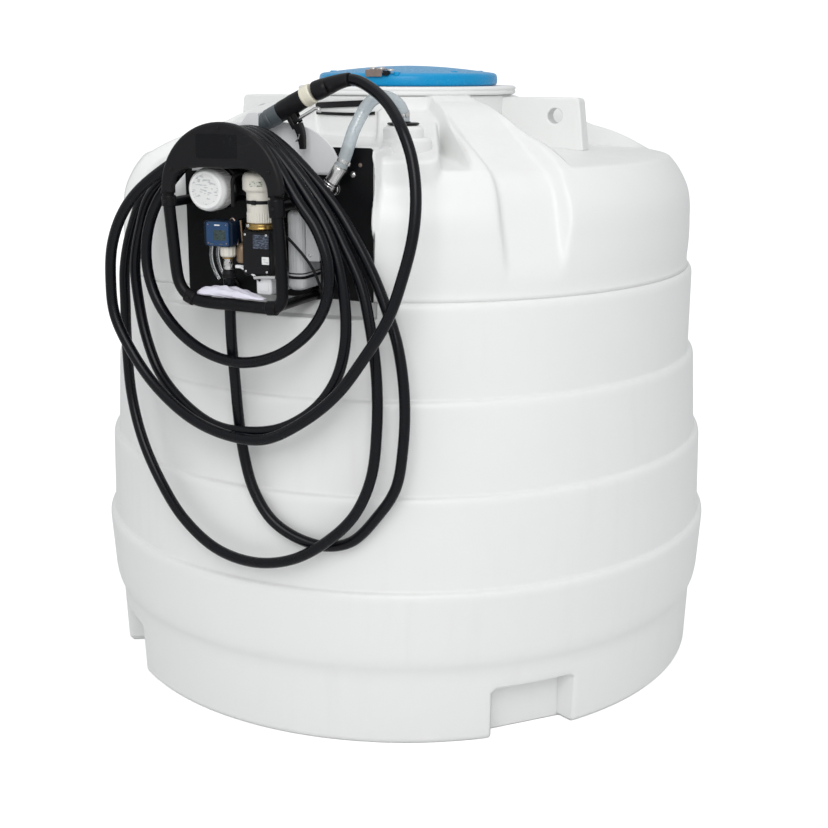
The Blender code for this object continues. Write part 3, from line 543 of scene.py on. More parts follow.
def fill_mottle(tree: Tree) -> None:
    """Cloudy variation of a colour: it is scaled by 1 plus or minus the amount, by slow noise.

    Args:
        tree: the group's node tree.
    """
    g, given, out = group_ends(tree, {"Colour": (0.5, 0.5, 0.5, 1.0), "Amount": 0.06,
                                      "Scale": 6.0},
                               {"Colour": "NodeSocketColor", "Value": "NodeSocketFloat"})
    where = g.place()
    cloud = g.noise(where, given["Scale"], 5.0, 0.6)
    swing = g.maths("MULTIPLY", g.maths("SUBTRACT", cloud, 0.5), given["Amount"])
    factor = g.maths("ADD", 1.0, g.maths("MULTIPLY", swing, 2.0))
    shade = g.add("VectorMath", {0: given["Colour"]}, operation="SCALE")
    tree.links.new(factor, shade.inputs["Scale"])
    tree.links.new(shade.outputs[0], out["Colour"])
    tree.links.new(cloud, out["Value"])


def fill_wear(tree: Tree) -> None:
    """Edge wear: how far the normal turns when edges are rounded by the radius, broken by noise.

    Args:
        tree: the group's node tree.
    """
    g, given, out = group_ends(tree, {"Radius": 0.002, "Breakup": 90.0},
                               {"Mask": "NodeSocketFloat"})
    round_normal = g.add("Bevel", {"Radius": given["Radius"]}, samples=4).outputs["Normal"]
    own = g.add("NewGeometry").outputs["Normal"]
    cosine = g.add("VectorMath", {0: round_normal, 1: own}, operation="DOT_PRODUCT")
    turn = g.maths("SUBTRACT", 1.0, cosine.outputs["Value"])
    where = g.place()
    broken = g.noise(where, given["Breakup"], 4.0)
    mask = g.maths("MULTIPLY", g.span(turn, 0.01, 0.14), g.span(broken, 0.42, 0.62))
    tree.links.new(mask, out["Mask"])


def fill_dust(tree: Tree) -> None:
    """Dust on what faces up: the normal's height, times noise in two sizes.

    Args:
        tree: the group's node tree.
    """
    g, given, out = group_ends(tree, {"Amount": 0.3, "Scale": 14.0}, {"Mask": "NodeSocketFloat"})
    up = g.add("SeparateXYZ", {0: g.add("NewGeometry").outputs["Normal"]}).outputs["Z"]
    where = g.place()
    patch = g.noise(where, given["Scale"], 6.0, 0.65)
    speck = g.noise(where, 900.0, 1.0)
    mask = g.maths("MULTIPLY", g.span(up, 0.25, 0.95), g.span(patch, 0.4, 0.75))
    mask = g.maths("MULTIPLY", mask, g.span(speck, 0.35, 0.6, 0.6, 1.0))
    tree.links.new(g.maths("MULTIPLY", mask, given["Amount"]), out["Mask"])


def fill_runs(tree: Tree) -> None:
    """Faint runs down a wall: noise that is narrow sideways and ten times longer in height.

    Args:
        tree: the group's node tree.
    """
    g, given, out = group_ends(tree, {"Amount": 0.2, "Scale": 26.0}, {"Mask": "NodeSocketFloat"})
    where = g.place()
    tall = g.add("VectorMath", {0: where, 1: (1.0, 1.0, 0.07)}, operation="MULTIPLY").outputs[0]
    lines = g.noise(tall, given["Scale"], 5.0, 0.6)
    patch = g.noise(where, 2.2, 3.0)
    mask = g.maths("MULTIPLY", g.span(lines, 0.52, 0.74), g.span(patch, 0.42, 0.66))
    tree.links.new(g.maths("MULTIPLY", mask, given["Amount"]), out["Mask"])


def fill_scratch(tree: Tree) -> None:
    """Hair scratches: thin bands of stretched noise in two directions, kept in patches.

    Args:
        tree: the group's node tree.
    """
    g, given, out = group_ends(tree, {"Amount": 0.3, "Scale": 60.0}, {"Mask": "NodeSocketFloat"})
    where = g.place()
    lines = []
    for angle, long in ((0.5, 0.05), (-0.9, 0.08)):
        turned_place = g.add("Mapping", {"Vector": where, "Rotation": (angle, angle * 0.4, angle),
                                         "Scale": (1.0, long, 1.0)}).outputs[0]
        value = g.noise(turned_place, given["Scale"], 1.0)
        lines.append(g.span(g.maths("ABSOLUTE", g.maths("SUBTRACT", value, 0.5)), 0.0, 0.012, 1.0,
                            0.0))
    patch = g.span(g.noise(where, 7.0, 2.0), 0.5, 0.68)
    mask = g.maths("MULTIPLY", g.maths("MAXIMUM", lines[0], lines[1]), patch)
    tree.links.new(g.maths("MULTIPLY", mask, given["Amount"]), out["Mask"])


@dataclass(frozen=True)
class Finish:
    """A finish: its colour, gloss, grain and marks. Every part of it is procedural."""

    name: str
    slot: str
    colour: tuple
    rough: float = 0.45
    metal: float = 0.0
    mottle: float = 0.05
    mottle_scale: float = 6.0
    grain_scale: float = 400.0
    grain_height: float = 0.00015
    grain_strength: float = 0.35
    dust: float = 0.25
    dust_colour: tuple = (0.52, 0.49, 0.44)
    runs: float = 0.0
    run_colour: tuple = (0.5, 0.47, 0.4)
    scratch: float = 0.2
    wear: float = 0.3
    wear_radius: float = 0.0015
    wear_colour: tuple = (0.6, 0.6, 0.6)
    coat: float = 0.0
    sheen: float = 0.0
    clear: float = 0.0
    soft: float = 0.0
    gloss: float = 0.5

    def effect(self, g: Graph, which: Effect, values: dict, output: str) -> Socket:
        """Add one effect's group and give one of its sockets.

        Args:
            g: the material's drawing helper.
            which: the effect.
            values: its inputs, constants or sockets.
            output: the name of the output.

        Returns:
            That output.
        """
        return g.add("Group", values, node_tree=group_of(which)).outputs[output]

    def base(self, g: Graph) -> tuple[Socket, Socket]:
        """Give the colour and roughness before marks; kinds of finish with a pattern change this.

        Args:
            g: the material's drawing helper.

        Returns:
            The colour socket and the roughness socket.
        """
        node = g.add("Group", {"Colour": (*self.colour, 1.0), "Amount": self.mottle,
                               "Scale": self.mottle_scale}, node_tree=group_of(Effect.MOTTLE))
        rough = g.span(node.outputs["Value"], 0.3, 0.7, self.rough * 0.88, self.rough * 1.12)
        return node.outputs["Colour"], rough

    def normal(self, g: Graph) -> Socket:
        """Give the bumped normal of the finish.

        Args:
            g: the material's drawing helper.

        Returns:
            The bumped normal.
        """
        return self.effect(g, Effect.GRAIN, {"Scale": self.grain_scale,
                                             "Height": self.grain_height,
                                             "Strength": self.grain_strength}, "Normal")

    def material(self) -> bpy.types.Material:
        """Give the material, and make it the first time.

        Returns:
            The Principled material of this finish.
        """
        name = "finish_" + self.name
        made = bpy.data.materials.get(name)
        if made is not None:
            return made
        made = bpy.data.materials.new(name)
        made.use_nodes = True
        g = Graph(made.node_tree)
        shader = made.node_tree.nodes["Principled BSDF"]
        colour, rough = self.base(g)
        marks = ((Effect.RUNS, self.runs, self.run_colour, 0.1),
                 (Effect.SCRATCH, self.scratch, self.wear_colour, 0.12),
                 (Effect.WEAR, self.wear, self.wear_colour, 0.08),
                 (Effect.DUST, self.dust, self.dust_colour, 0.25))
        for which, amount, mark_colour, rougher in marks:
            if amount <= 0:
                continue
            if which is Effect.WEAR:
                mask = self.effect(g, which, {"Radius": self.wear_radius}, "Mask")
                mask = g.maths("MULTIPLY", mask, amount)
            else:
                mask = self.effect(g, which, {"Amount": amount}, "Mask")
            colour = g.blend(mask, colour, mark_colour)
            rough = g.maths("ADD", rough, g.maths("MULTIPLY", mask, rougher))
        g.tree.links.new(colour, shader.inputs["Base Color"])
        g.tree.links.new(rough, shader.inputs["Roughness"])
        g.tree.links.new(self.normal(g), shader.inputs["Normal"])
        for name, value in (("Metallic", self.metal), ("Coat Weight", self.coat),
                            ("Sheen Weight", self.sheen), ("Transmission Weight", self.clear),
                            ("Subsurface Weight", self.soft), ("Specular IOR Level", self.gloss)):
            shader.inputs[name].default_value = value
        shader.inputs["Coat Roughness"].default_value = 0.12
        shader.inputs["Subsurface Radius"].default_value = (0.012, 0.011, 0.01)
        made.diffuse_color = (*self.colour, 1.0)
        return made


@dataclass(frozen=True)
class Brushed(Finish):
    """Metal with fine lines across its length, from noise that is stretched along one axis."""

    lines: tuple = (1.0, 1.0, 0.05)

    def normal(self, g: Graph) -> Socket:
        """Give a normal bumped by stretched noise: long along one axis and fine across it.

        Args:
            g: the material's drawing helper.

        Returns:
            The bumped normal.
        """
        where = g.place()
        long = g.add("VectorMath", {0: where, 1: self.lines}, operation="MULTIPLY").outputs[0]
        value = g.noise(long, self.grain_scale, 3.0)
        return g.add("Bump", {"Strength": self.grain_strength, "Distance": self.grain_height,
                              "Height": value}).outputs["Normal"]


@dataclass(frozen=True)
class Banded(Finish):
    """A moulding with even ribs or flutes: a sine of one object coordinate drives the bump."""

    pitch: float = 0.004
    axis: str = "Z"
    depth: float = 0.0004

    def normal(self, g: Graph) -> Socket:
        """Give a normal bumped by a sine of height over the pitch, over the usual grain.

        Args:
            g: the material's drawing helper.

        Returns:
            The bumped normal.
        """
        place = g.add("SeparateXYZ", {0: g.place()}).outputs[self.axis]
        wave = g.maths("SINE", g.maths("MULTIPLY", place, 2 * math.pi / self.pitch))
        grain = super().normal(g)
        return g.add("Bump", {"Strength": 0.8, "Distance": self.depth, "Height": wave,
                              "Normal": grain}).outputs["Normal"]


@dataclass(frozen=True)
class Speckled(Finish):
    """A printed or bare label: small blocks of a second tone, by noise held to steps."""

    ink: tuple = (0.1, 0.1, 0.12)
    print_scale: float = 420.0
    share: float = 0.56

    def base(self, g: Graph) -> tuple[Socket, Socket]:
        """Give the paper with short generic bars in the ink colour, which spell nothing.

        Args:
            g: the material's drawing helper.

        Returns:
            The colour socket and the roughness socket.
        """
        colour, rough = super().base(g)
        where = g.place()
        rows = g.add("VectorMath", {0: where, 1: (0.35, 0.35, 1.0)}, operation="MULTIPLY").outputs[0]
        marks = g.noise(rows, self.print_scale, 0.0)
        mask = g.span(marks, self.share, self.share + 0.02)
        return g.blend(mask, colour, self.ink), rough


POLYETHYLENE = Finish("polyethylene", "tank_white", (0.8, 0.805, 0.795), rough=0.4, mottle=0.018,
                      mottle_scale=2.4, grain_scale=230.0, grain_height=0.0003, grain_strength=0.3,
                      dust=0.16, dust_colour=(0.62, 0.6, 0.55), runs=0.12,
                      run_colour=(0.6, 0.58, 0.52), scratch=0.1, wear=0.1, wear_radius=0.006,
                      wear_colour=(0.7, 0.7, 0.68), soft=0.06)
RIM_WHITE = Finish("rim_polyethylene", "rim_white", (0.79, 0.795, 0.79), rough=0.36, mottle=0.02,
                   grain_scale=260.0, grain_height=0.0002, dust=0.18, dust_colour=(0.6, 0.58, 0.54),
                   scratch=0.1, wear=0.1, wear_colour=(0.7, 0.7, 0.68), soft=0.06)
LID_BLUE = Finish("lid_blue", "lid_blue", (0.0015, 0.275, 0.56), rough=0.28, mottle=0.08,
                  mottle_scale=5.0, grain_scale=320.0, grain_height=0.0002, dust=0.12,
                  dust_colour=(0.35, 0.45, 0.55), scratch=0.22, wear=0.25, wear_radius=0.003,
                  wear_colour=(0.1, 0.4, 0.66), gloss=0.27)
BLACK_PAINT = Finish("black_powder_coat", "black_paint", (0.0038, 0.004, 0.0048), rough=0.34,
                     mottle=0.1, grain_scale=620.0, grain_height=0.0003, grain_strength=0.5,
                     dust=0.06, scratch=0.2, wear=0.3, wear_colour=(0.06, 0.06, 0.065),
                     dust_colour=(0.08, 0.077, 0.073), gloss=0.16)
BLACK_PLASTIC = Finish("black_plastic", "black_plastic", (0.0095, 0.0095, 0.0105), rough=0.36,
                       grain_scale=760.0, grain_height=0.00012, dust=0.05, scratch=0.15, wear=0.25,
                       wear_colour=(0.05, 0.05, 0.055), dust_colour=(0.07, 0.067, 0.065), gloss=0.15)
PALE_PLASTIC = Finish("pale_plastic", "pale_plastic", (0.73, 0.735, 0.745), rough=0.42, mottle=0.04,
                      grain_scale=500.0, dust=0.2, scratch=0.2, wear=0.2, soft=0.05,
                      wear_colour=(0.42, 0.42, 0.42))
IVORY_PLASTIC = Finish("ivory_plastic", "ivory_plastic", (0.66, 0.635, 0.565), rough=0.42,
                       mottle=0.05, grain_scale=500.0, dust=0.2, scratch=0.2, wear=0.25,
                       wear_colour=(0.45, 0.42, 0.36))
GREY_CASTING = Finish("grey_casting", "grey_casting", (0.58, 0.59, 0.6), rough=0.5, mottle=0.1,
                      mottle_scale=30.0, grain_scale=520.0, grain_height=0.0004, grain_strength=0.6,
                      dust=0.25, scratch=0.2, wear=0.4, wear_colour=(0.58, 0.58, 0.58))
BRASS = Brushed("brass", "brass", (0.38, 0.25, 0.085), rough=0.3, metal=1.0, mottle=0.16,
                mottle_scale=60.0, grain_scale=900.0, grain_height=0.0001, dust=0.15, scratch=0.2,
                wear=0.0, lines=(1.0, 1.0, 0.08))
STEEL = Brushed("polished_steel", "polished_steel", (0.62, 0.615, 0.61), rough=0.22, metal=1.0,
                mottle=0.06, mottle_scale=40.0, grain_scale=900.0, grain_height=0.00006,
                grain_strength=0.25, dust=0.1, scratch=0.3, wear=0.0, lines=(0.08, 1.0, 1.0))
METER_BLUE = Finish("meter_blue", "meter_blue", (0.004, 0.04, 0.118), rough=0.3, mottle=0.06,
                    grain_scale=700.0, dust=0.12, scratch=0.2, wear=0.25, coat=0.15,
                    wear_colour=(0.1, 0.2, 0.36))
DULL_STEEL = Brushed("dull_steel", "polished_steel", (0.3, 0.235, 0.205), rough=0.34, metal=0.9,
                     mottle=0.18, mottle_scale=60.0, grain_scale=900.0, grain_height=0.00008,
                     grain_strength=0.3, dust=0.12, scratch=0.3, wear=0.0, lines=(0.08, 1.0, 1.0))
METER_DARK = Finish("meter_dark", "meter_blue", (0.003, 0.01, 0.026), rough=0.36,
                    grain_scale=700.0, dust=0.06, scratch=0.1, wear=0.2,
                    wear_colour=(0.02, 0.05, 0.1), gloss=0.2)
CLEAR_TUBE = Finish("clear_tube", "clear_hose", (0.8, 0.83, 0.84), rough=0.12, mottle=0.05,
                    mottle_scale=60.0, dust=0.05, scratch=0.05, wear=0.0, clear=0.93)
SLATE = Finish("slate_plastic", "slate_plastic", (0.072, 0.088, 0.098), rough=0.45, dust=0.2,
               wear=0.3, wear_colour=(0.18, 0.2, 0.22))
HOSE_RUBBER = Finish("hose_rubber", "hose_rubber", (0.0022, 0.0026, 0.0045), rough=0.27, mottle=0.2,
                     mottle_scale=9.0, grain_scale=900.0, grain_height=0.0001, grain_strength=0.4,
                     dust=0.04, dust_colour=(0.06, 0.06, 0.07), scratch=0.1, wear=0.0,
                     wear_colour=(0.05, 0.05, 0.055), gloss=0.22)
CLEAR_HOSE = Banded("clear_hose", "clear_hose", (0.62, 0.68, 0.71), rough=0.2, mottle=0.06,
                    mottle_scale=20.0, dust=0.1, scratch=0.1, wear=0.0, coat=0.6, clear=0.5,
                    soft=0.1, pitch=0.007, depth=0.0002)
BAG_FILM = Finish("bag_film", "bag_film", (0.72, 0.705, 0.8), rough=0.3, mottle=0.1,
                  mottle_scale=30.0, grain_scale=160.0, grain_height=0.0008, grain_strength=0.6,
                  dust=0.1, scratch=0.15, wear=0.0, coat=0.25, soft=0.12)
SCREEN = Speckled("meter_screen", "meter_blue", (0.016, 0.038, 0.036), rough=0.16, dust=0.05,
                  scratch=0.15, wear=0.0, coat=0.3, ink=(0.007, 0.012, 0.012), print_scale=250.0,
                  share=0.6)
LABEL = Speckled("dark_label", "black_plastic", (0.02, 0.026, 0.042), rough=0.3, dust=0.1,
                 scratch=0.2, wear=0.0, ink=(0.085, 0.105, 0.15), print_scale=430.0, share=0.55)
TAN_BRASS = Finish("tan_brass", "brass", (0.24, 0.165, 0.105), rough=0.36, metal=0.35, mottle=0.16,
                   mottle_scale=60.0, dust=0.15, wear=0.3, wear_colour=(0.4, 0.31, 0.21))
CREAM_PLASTIC = Finish("cream_plastic", "ivory_plastic", (0.7, 0.665, 0.545), rough=0.4,
                       mottle=0.06, mottle_scale=40.0, dust=0.15, scratch=0.3, wear=0.3,
                       wear_colour=(0.42, 0.4, 0.34))
MOTOR_LABEL = Speckled("motor_label", "ivory_plastic", (0.58, 0.575, 0.51), rough=0.4, dust=0.1,
                       scratch=0.2, wear=0.0, ink=(0.12, 0.16, 0.11), print_scale=360.0, share=0.58)
FILTER_LABEL = Speckled("filter_label", "tank_white", (0.73, 0.735, 0.72), rough=0.35, dust=0.1,
                        scratch=0.2, wear=0.0, ink=(0.48, 0.49, 0.5), print_scale=330.0,
                        share=0.64)


class Body(Enum):
    """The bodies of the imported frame."""

    TANK = "tank"
    LID = "lid"
    TRIGGER = "trigger"


def build(form: Form, name: str, finish: Finish, replaces: Sequence[str] = (),
          body: Body = Body.TANK) -> Piece:
    """Make an object of a form, give it its finish, and let it ride on its body.

    Args:
        form: the mesh, already in place.
        name: the piece's name.
        finish: its finish.
        replaces: the CAD nodes that it stands for.
        body: the body that it moves with.

    Returns:
        The new object.
    """
    normals = form.normals()
    sizes = np.concatenate([np.full(len(form.quads), 4), [len(p) for p in form.plates]]).astype(int)
    corners = np.concatenate([form.quads.reshape(-1), *form.plates]).astype(int)
    mesh = bpy.data.meshes.new(name)
    mesh.vertices.add(len(form.points))
    mesh.vertices.foreach_set("co", form.points.astype(np.float32).reshape(-1))
    mesh.loops.add(len(corners))
    mesh.loops.foreach_set("vertex_index", corners)
    mesh.polygons.add(len(sizes))
    mesh.polygons.foreach_set("loop_start", np.cumsum(sizes) - sizes)
    mesh.polygons.foreach_set("use_smooth", np.ones(len(sizes), bool))
    mesh.update(calc_edges=True)
    mesh.validate()
    mesh.normals_split_custom_set_from_vertices(normals)
    made = bpy.data.objects.new(name, mesh)
    return settle(made, finish, replaces, body)


def settle(made: Piece, finish: Finish, replaces: Sequence[str] = (),
           body: Body = Body.TANK) -> Piece:
    """Link an object, give it its finish and body, and report it.

    Args:
        made: the new object.
        finish: its finish.
        replaces: the CAD nodes that it stands for.
        body: the body that it moves with.

    Returns:
        The same object.
    """
    bpy.context.scene.collection.objects.link(made)
    made.data.materials.append(finish.material())
    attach(made, body.value)
    if replaces:
        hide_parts(*replaces)
    LOG.info("%s: %s", made.name, finish.name)
    return made


def tube(name: str, line: Array, radius: float, finish: Finish, replaces: Sequence[str] = (),
         fineness: int = 4, body: Body = Body.TANK) -> Piece:
    """Make a round tube with closed ends as a curve along a line.

    Args:
        name: the piece's name.
        line: the points of its middle.
        radius: half its thickness.
        finish: its finish.
        replaces: the CAD nodes that it stands for.
        fineness: the bevel resolution, which gives twice that and two more sides each half turn.
        body: the body that it moves with.

    Returns:
        The curve object.
    """
    curve = bpy.data.curves.new(name, "CURVE")
    curve.dimensions = "3D"
    curve.bevel_depth = radius
    curve.bevel_resolution = fineness
    curve.use_fill_caps = True
    spline = curve.splines.new("POLY")
    spline.points.add(len(line) - 1)
    spline.points.foreach_set("co", np.hstack([line, np.ones((len(line), 1))]).reshape(-1))
    spline.use_smooth = True
    return settle(bpy.data.objects.new(name, curve), finish, replaces, body)


def dress(node: str, finish: Finish) -> None:
    """Give a CAD node that stays its finish.

    Args:
        node: the node's name.
        finish: its finish.
    """
    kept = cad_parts[node]
    for slot in kept.material_slots:
        slot.material = finish.material()
    LOG.info("%s keeps its CAD shape: %s", node, finish.name)


# Tank body

def smooth_max(a: Array, b: Array, k: float) -> Array:
    """Take the larger of two distances, with a rounding: max + h squared times k over 4."""
    h = np.maximum(k - np.abs(a - b), 0.0) / k
    return np.maximum(a, b) + h * h * k / 4


def smooth_min(a: Array, b: Array, k: float) -> Array:
    """Take the smaller of two distances, with the same rounding."""
    return -smooth_max(-a, -b, k)


def along_azimuth(x: Array, y: Array, azimuth: float) -> tuple[Array, Array]:
    """Give how far points are out along an azimuth, and how far beside it.

    Args:
        x: the X values.
        y: the Y values.
        azimuth: in degrees, from the front and towards +X.

    Returns:
        The distances along it and the distances beside it.
    """
    turn = math.radians(azimuth)
    return (x * math.sin(turn) - y * math.cos(turn),
            np.abs(x * math.cos(turn) + y * math.sin(turn)))


def solve_rays(start: Array, heading: Array, far: Array, surface: Callable, level: float) -> Array:
    """Find where rays leave a form, by halving the span between inside and outside.

    Args:
        start: where each ray starts, inside the form.
        heading: each ray's direction, of length one.
        far: a distance along each ray that is outside.
        surface: a function of points that is below the level inside.
        level: the value to find.

    Returns:
        The points on the surface.
    """
    low, high = np.zeros(far.shape), far
    for _ in range(22):
        middle = (low + high) / 2
        inside = surface(start + heading * middle[..., None]) < level
        low, high = np.where(inside, middle, low), np.where(inside, high, middle)
    return start + heading * ((low + high) / 2)[..., None]


@dataclass
class TankBody:
    """The moulded tank: a stepped wall and a roof with sunk fields, channels, a panel and a pad.

    Both are read from distance-like functions of a point, blended at their meetings, along rays
    that fan out from the axis. So each is one smooth closed shell with a real inside.
    """

    spans: tuple = ((-67.5, 190), (15.4, 60), (19.6, 213), (112.5, 207), (292.5, 0))
    skin: float = 0.01
    creases: tuple = ((0.9, 0.432), (0.877, 0.677), (0.848, 0.917), (0.831, 1.16))
    ledge: tuple = (0.0165, 0.015)
    belt: tuple = ((0.8725, 0.0), (0.8815, 0.01), (0.8885, 0.2), (0.906, 0.236))
    floor_radius: float = 0.8
    fork: tuple = (0.82, 0.115, 0.141)
    panel: tuple = (-0.735, -0.6, 0.235, 1.12)
    shelf: tuple = (-0.33, 0.247, -0.2, 1.527)
    base: float = 1.158
    shoulder: tuple = ((0.837, 1.158), (0.8325, 1.1635), (0.8314, 1.18), (0.834, 1.33),
                       (0.8265, 1.378), (0.809, 1.415), (0.79, 1.445), (0.766, 1.4715), (0.56, 1.555),
                       (0.33, 1.634), (0.305, 1.6385), (0.2, 1.6385))
    shoulder_reach: tuple = (0.0, 0.003, 0.01, 0.03, 0.025, 0.02, 0.018, 0.008, 0.03, 0.03, 0.01, 0.0)
    brow: tuple = (0.42, 0.55)
    neck: tuple = (0.307, 1.6385)
    bore: float = 0.225
    field_half: float = 34.5
    field_floor: tuple = (1.505, 1.466)
    draft: float = 0.16
    pad: tuple = (22.5, 0.08, 0.8, 1.498, 0.2)
    boss: tuple = (0.68, 22.5, 0.0615, 1.48, 1.547)
    step: tuple = (0.68, 21.7, 0.05, 1.5, 1.575)
    centre: tuple = (0.2, 1.1603)

    @property
    def columns(self) -> int:
        """Count the columns of the mesh."""
        return sum(count for _, count in self.spans)

    def azimuths(self) -> Array:
        """Spread the columns: closest at the panel's side wall, and widest behind.

        Returns:
            One azimuth in radians for each column.
        """
        return np.radians(np.concatenate([
            np.linspace(low, high, count, endpoint=False)
            for (low, count), (high, _) in zip(self.spans, self.spans[1:])]))

    def shoulder_distance(self, r: Array, z: Array) -> Array:
        """Distance past the shoulder: range from the ray centre less the outline's range there.

        Args:
            r: the distances from the axis.
            z: the heights.

        Returns:
            The distance at each point, below zero inside.
        """
        line = rounded(self.shoulder, self.shoulder_reach, 6, closed=False)
        gap = line - np.array(self.centre)
        angle, reach = np.arctan2(gap[:, 1], gap[:, 0]), np.hypot(gap[:, 0], gap[:, 1])
        here = np.arctan2(z - self.centre[1], r - self.centre[0])
        span = np.hypot(z - self.centre[1], r - self.centre[0])
        return (span - np.interp(here, angle, reach)) * 0.95

    def field_distance(self, x: Array, y: Array, z: Array, middle: float) -> Array:
        """Distance out of one sunk field: beyond its leaning side walls, or under its floor.

        Args:
            x: the X values.
            y: the Y values.
            z: the heights.
            middle: the field's azimuth, in degrees.

        Returns:
            The distance at each point, below zero inside.
        """
        r = np.hypot(x, y)
        turn = (np.degrees(np.arctan2(x, -y)) - middle + 180.0) % 360.0 - 180.0
        near, far = self.field_floor
        floor = near + (far - near) * (r - self.neck[0]) / 0.54
        side = r * np.sin(np.radians(np.clip(np.abs(turn) - self.field_half, -90.0, 90.0)))
        if middle == 0.0:
            straight = 0.868 * x + 0.496 * y - 0.0735
            side = np.where(x > 0, np.maximum(straight, side), side)
        side = np.where(np.abs(turn) > 110.0, 1.0, side)
        crest = np.interp(r, *np.array(self.shoulder[:3:-1]).T)
        return smooth_max(side + self.draft * np.maximum(crest - z, 0.0), floor - z, 0.012)

    def channel_distance(self, x: Array, y: Array, z: Array, middle: float) -> Array:
        """Distance out of a tie-down channel, whose floor is three leaning planes in a row.

        Args:
            x: the X values.
            y: the Y values.
            z: the heights.
            middle: the channel's azimuth, in degrees.

        Returns:
            The distance at each point, below zero inside.
        """
        u, v = along_azimuth(x, y, middle)
        steep = (u - 0.862) * 0.9557 + (z - 1.12) * 0.2943
        top = (u - 0.72) * 0.4142 + (z - 1.462) * 0.9102
        upper = (u - 0.52) * 0.5145 + (z - 1.553) * 0.8575
        above = smooth_max(steep, smooth_min(top, upper, 0.02), 0.045)
        walls = (v - 0.078 - 0.6 * np.maximum(above, 0.0)) * 0.857
        return np.where(u > 0.2, smooth_max(-above, walls, 0.012), 1.0)

    def panel_distance(self, x: Array, y: Array, z: Array) -> Array:
        """Distance out of the space before the flat panel.

        Args:
            x: the X values.
            y: the Y values.
            z: the heights.

        Returns:
            The distance at each point, below zero inside.
        """
        plane, left, right, floor = self.panel
        middle, half = (left + right) / 2, (right - left) / 2
        return smooth_max(y - plane, smooth_max(np.abs(x - middle) - half, floor - z, 0.01), 0.01)

    def pad_distance(self, x: Array, y: Array, z: Array) -> Array:
        """Distance past the pad under the suction boss: a block with a sloping top.

        Args:
            x: the X values.
            y: the Y values.
            z: the heights.

        Returns:
            The distance at each point, below zero inside.
        """
        azimuth, half, outer, top, slope = self.pad
        u, v = along_azimuth(x, y, azimuth)
        sides = smooth_max(u - outer, v - half, 0.05)
        block = smooth_max(sides, (z - top - (outer - u) * slope) * 0.98, 0.012)
        return np.where(u > 0.3, block, 1.0)

    def roof_distance(self, p: Array) -> Array:
        """Distance past the roof's outer form, below zero inside.

        Args:
            p: the points, three values each.

        Returns:
            The distance at each point, below zero inside.
        """
        x, y, z = p[..., 0], p[..., 1], p[..., 2]
        r = np.hypot(x, y)
        form = self.shoulder_distance(r, z)
        for middle in (0.0, 90.0, 180.0, 270.0):
            form = smooth_max(form, -self.field_distance(x, y, z, middle), 0.006)
        for middle in (45.0, 135.0, 225.0, 315.0):
            form = smooth_max(form, -self.channel_distance(x, y, z, middle), 0.01)
        left, right, back, top = self.shelf
        sides = np.maximum(np.abs(x - (left + right) / 2) - (right - left) / 2, y - back)
        shelf = smooth_max(smooth_max(sides, z - top, 0.012), r - 0.835, 0.012)
        form = smooth_min(form, shelf, 0.012)
        form = smooth_max(form, -self.panel_distance(x, y, z), 0.012)
        form = smooth_min(form, self.pad_distance(x, y, z), 0.01)
        return smooth_min(form, smooth_max(r - self.neck[0], z - self.neck[1], 0.004), 0.018)

    def wall_distance(self, p: Array, line: Array) -> Array:
        """Distance past the wall: beyond its stepped radius, less the fork pockets and panel.

        Args:
            p: the points, three values each.
            line: the wall's outline as radius and height.

        Returns:
            The distance at each point, below zero inside.
        """
        x, y, z = p[..., 0], p[..., 1], p[..., 2]
        form = np.hypot(x, y) - np.interp(z, line[:, 1], line[:, 0])
        depth, half, height = self.fork
        for middle in (45.0, 135.0, 225.0, 315.0):
            u, v = along_azimuth(x, y, middle)
            pocket = smooth_max(depth - u, smooth_max(v - half, z - height, 0.02), 0.01)
            form = smooth_max(form, -pocket, 0.018)
        return smooth_max(form, -self.panel_distance(x, y, z), 0.01)

    def fan(self, rises: Array, level: float) -> Array:
        """Read the roof along rays that rise at given angles from the ring above the axis.

        Args:
            rises: each row's angle above level, in radians.
            level: the distance to find: zero outside, less within.

        Returns:
            The points, rows by columns.
        """
        turn = self.azimuths()[None, :]
        rise = rises[:, None]
        out = np.stack(np.broadcast_arrays(np.sin(turn), -np.cos(turn), np.zeros_like(turn)), -1)
        start = np.broadcast_to(out * self.centre[0] + (0.0, 0.0, self.centre[1]),
                                (len(rises), self.columns, 3))
        heading = out * np.cos(rise)[..., None] + np.array((0.0, 0.0, 1.0)) * np.sin(rise)[..., None]
        return solve_rays(start, heading, np.full(heading.shape[:2], 0.75), self.roof_distance,
                          level)

    def ring(self, radius: float, height: float) -> Array:
        """Give one row of points on a circle.

        Args:
            radius: of the circle.
            height: of the circle.

        Returns:
            One row of points, a point for each column.
        """
        turn = self.azimuths()
        return np.stack([radius * np.sin(turn), -radius * np.cos(turn),
                         np.full(self.columns, height)], axis=1)[None]

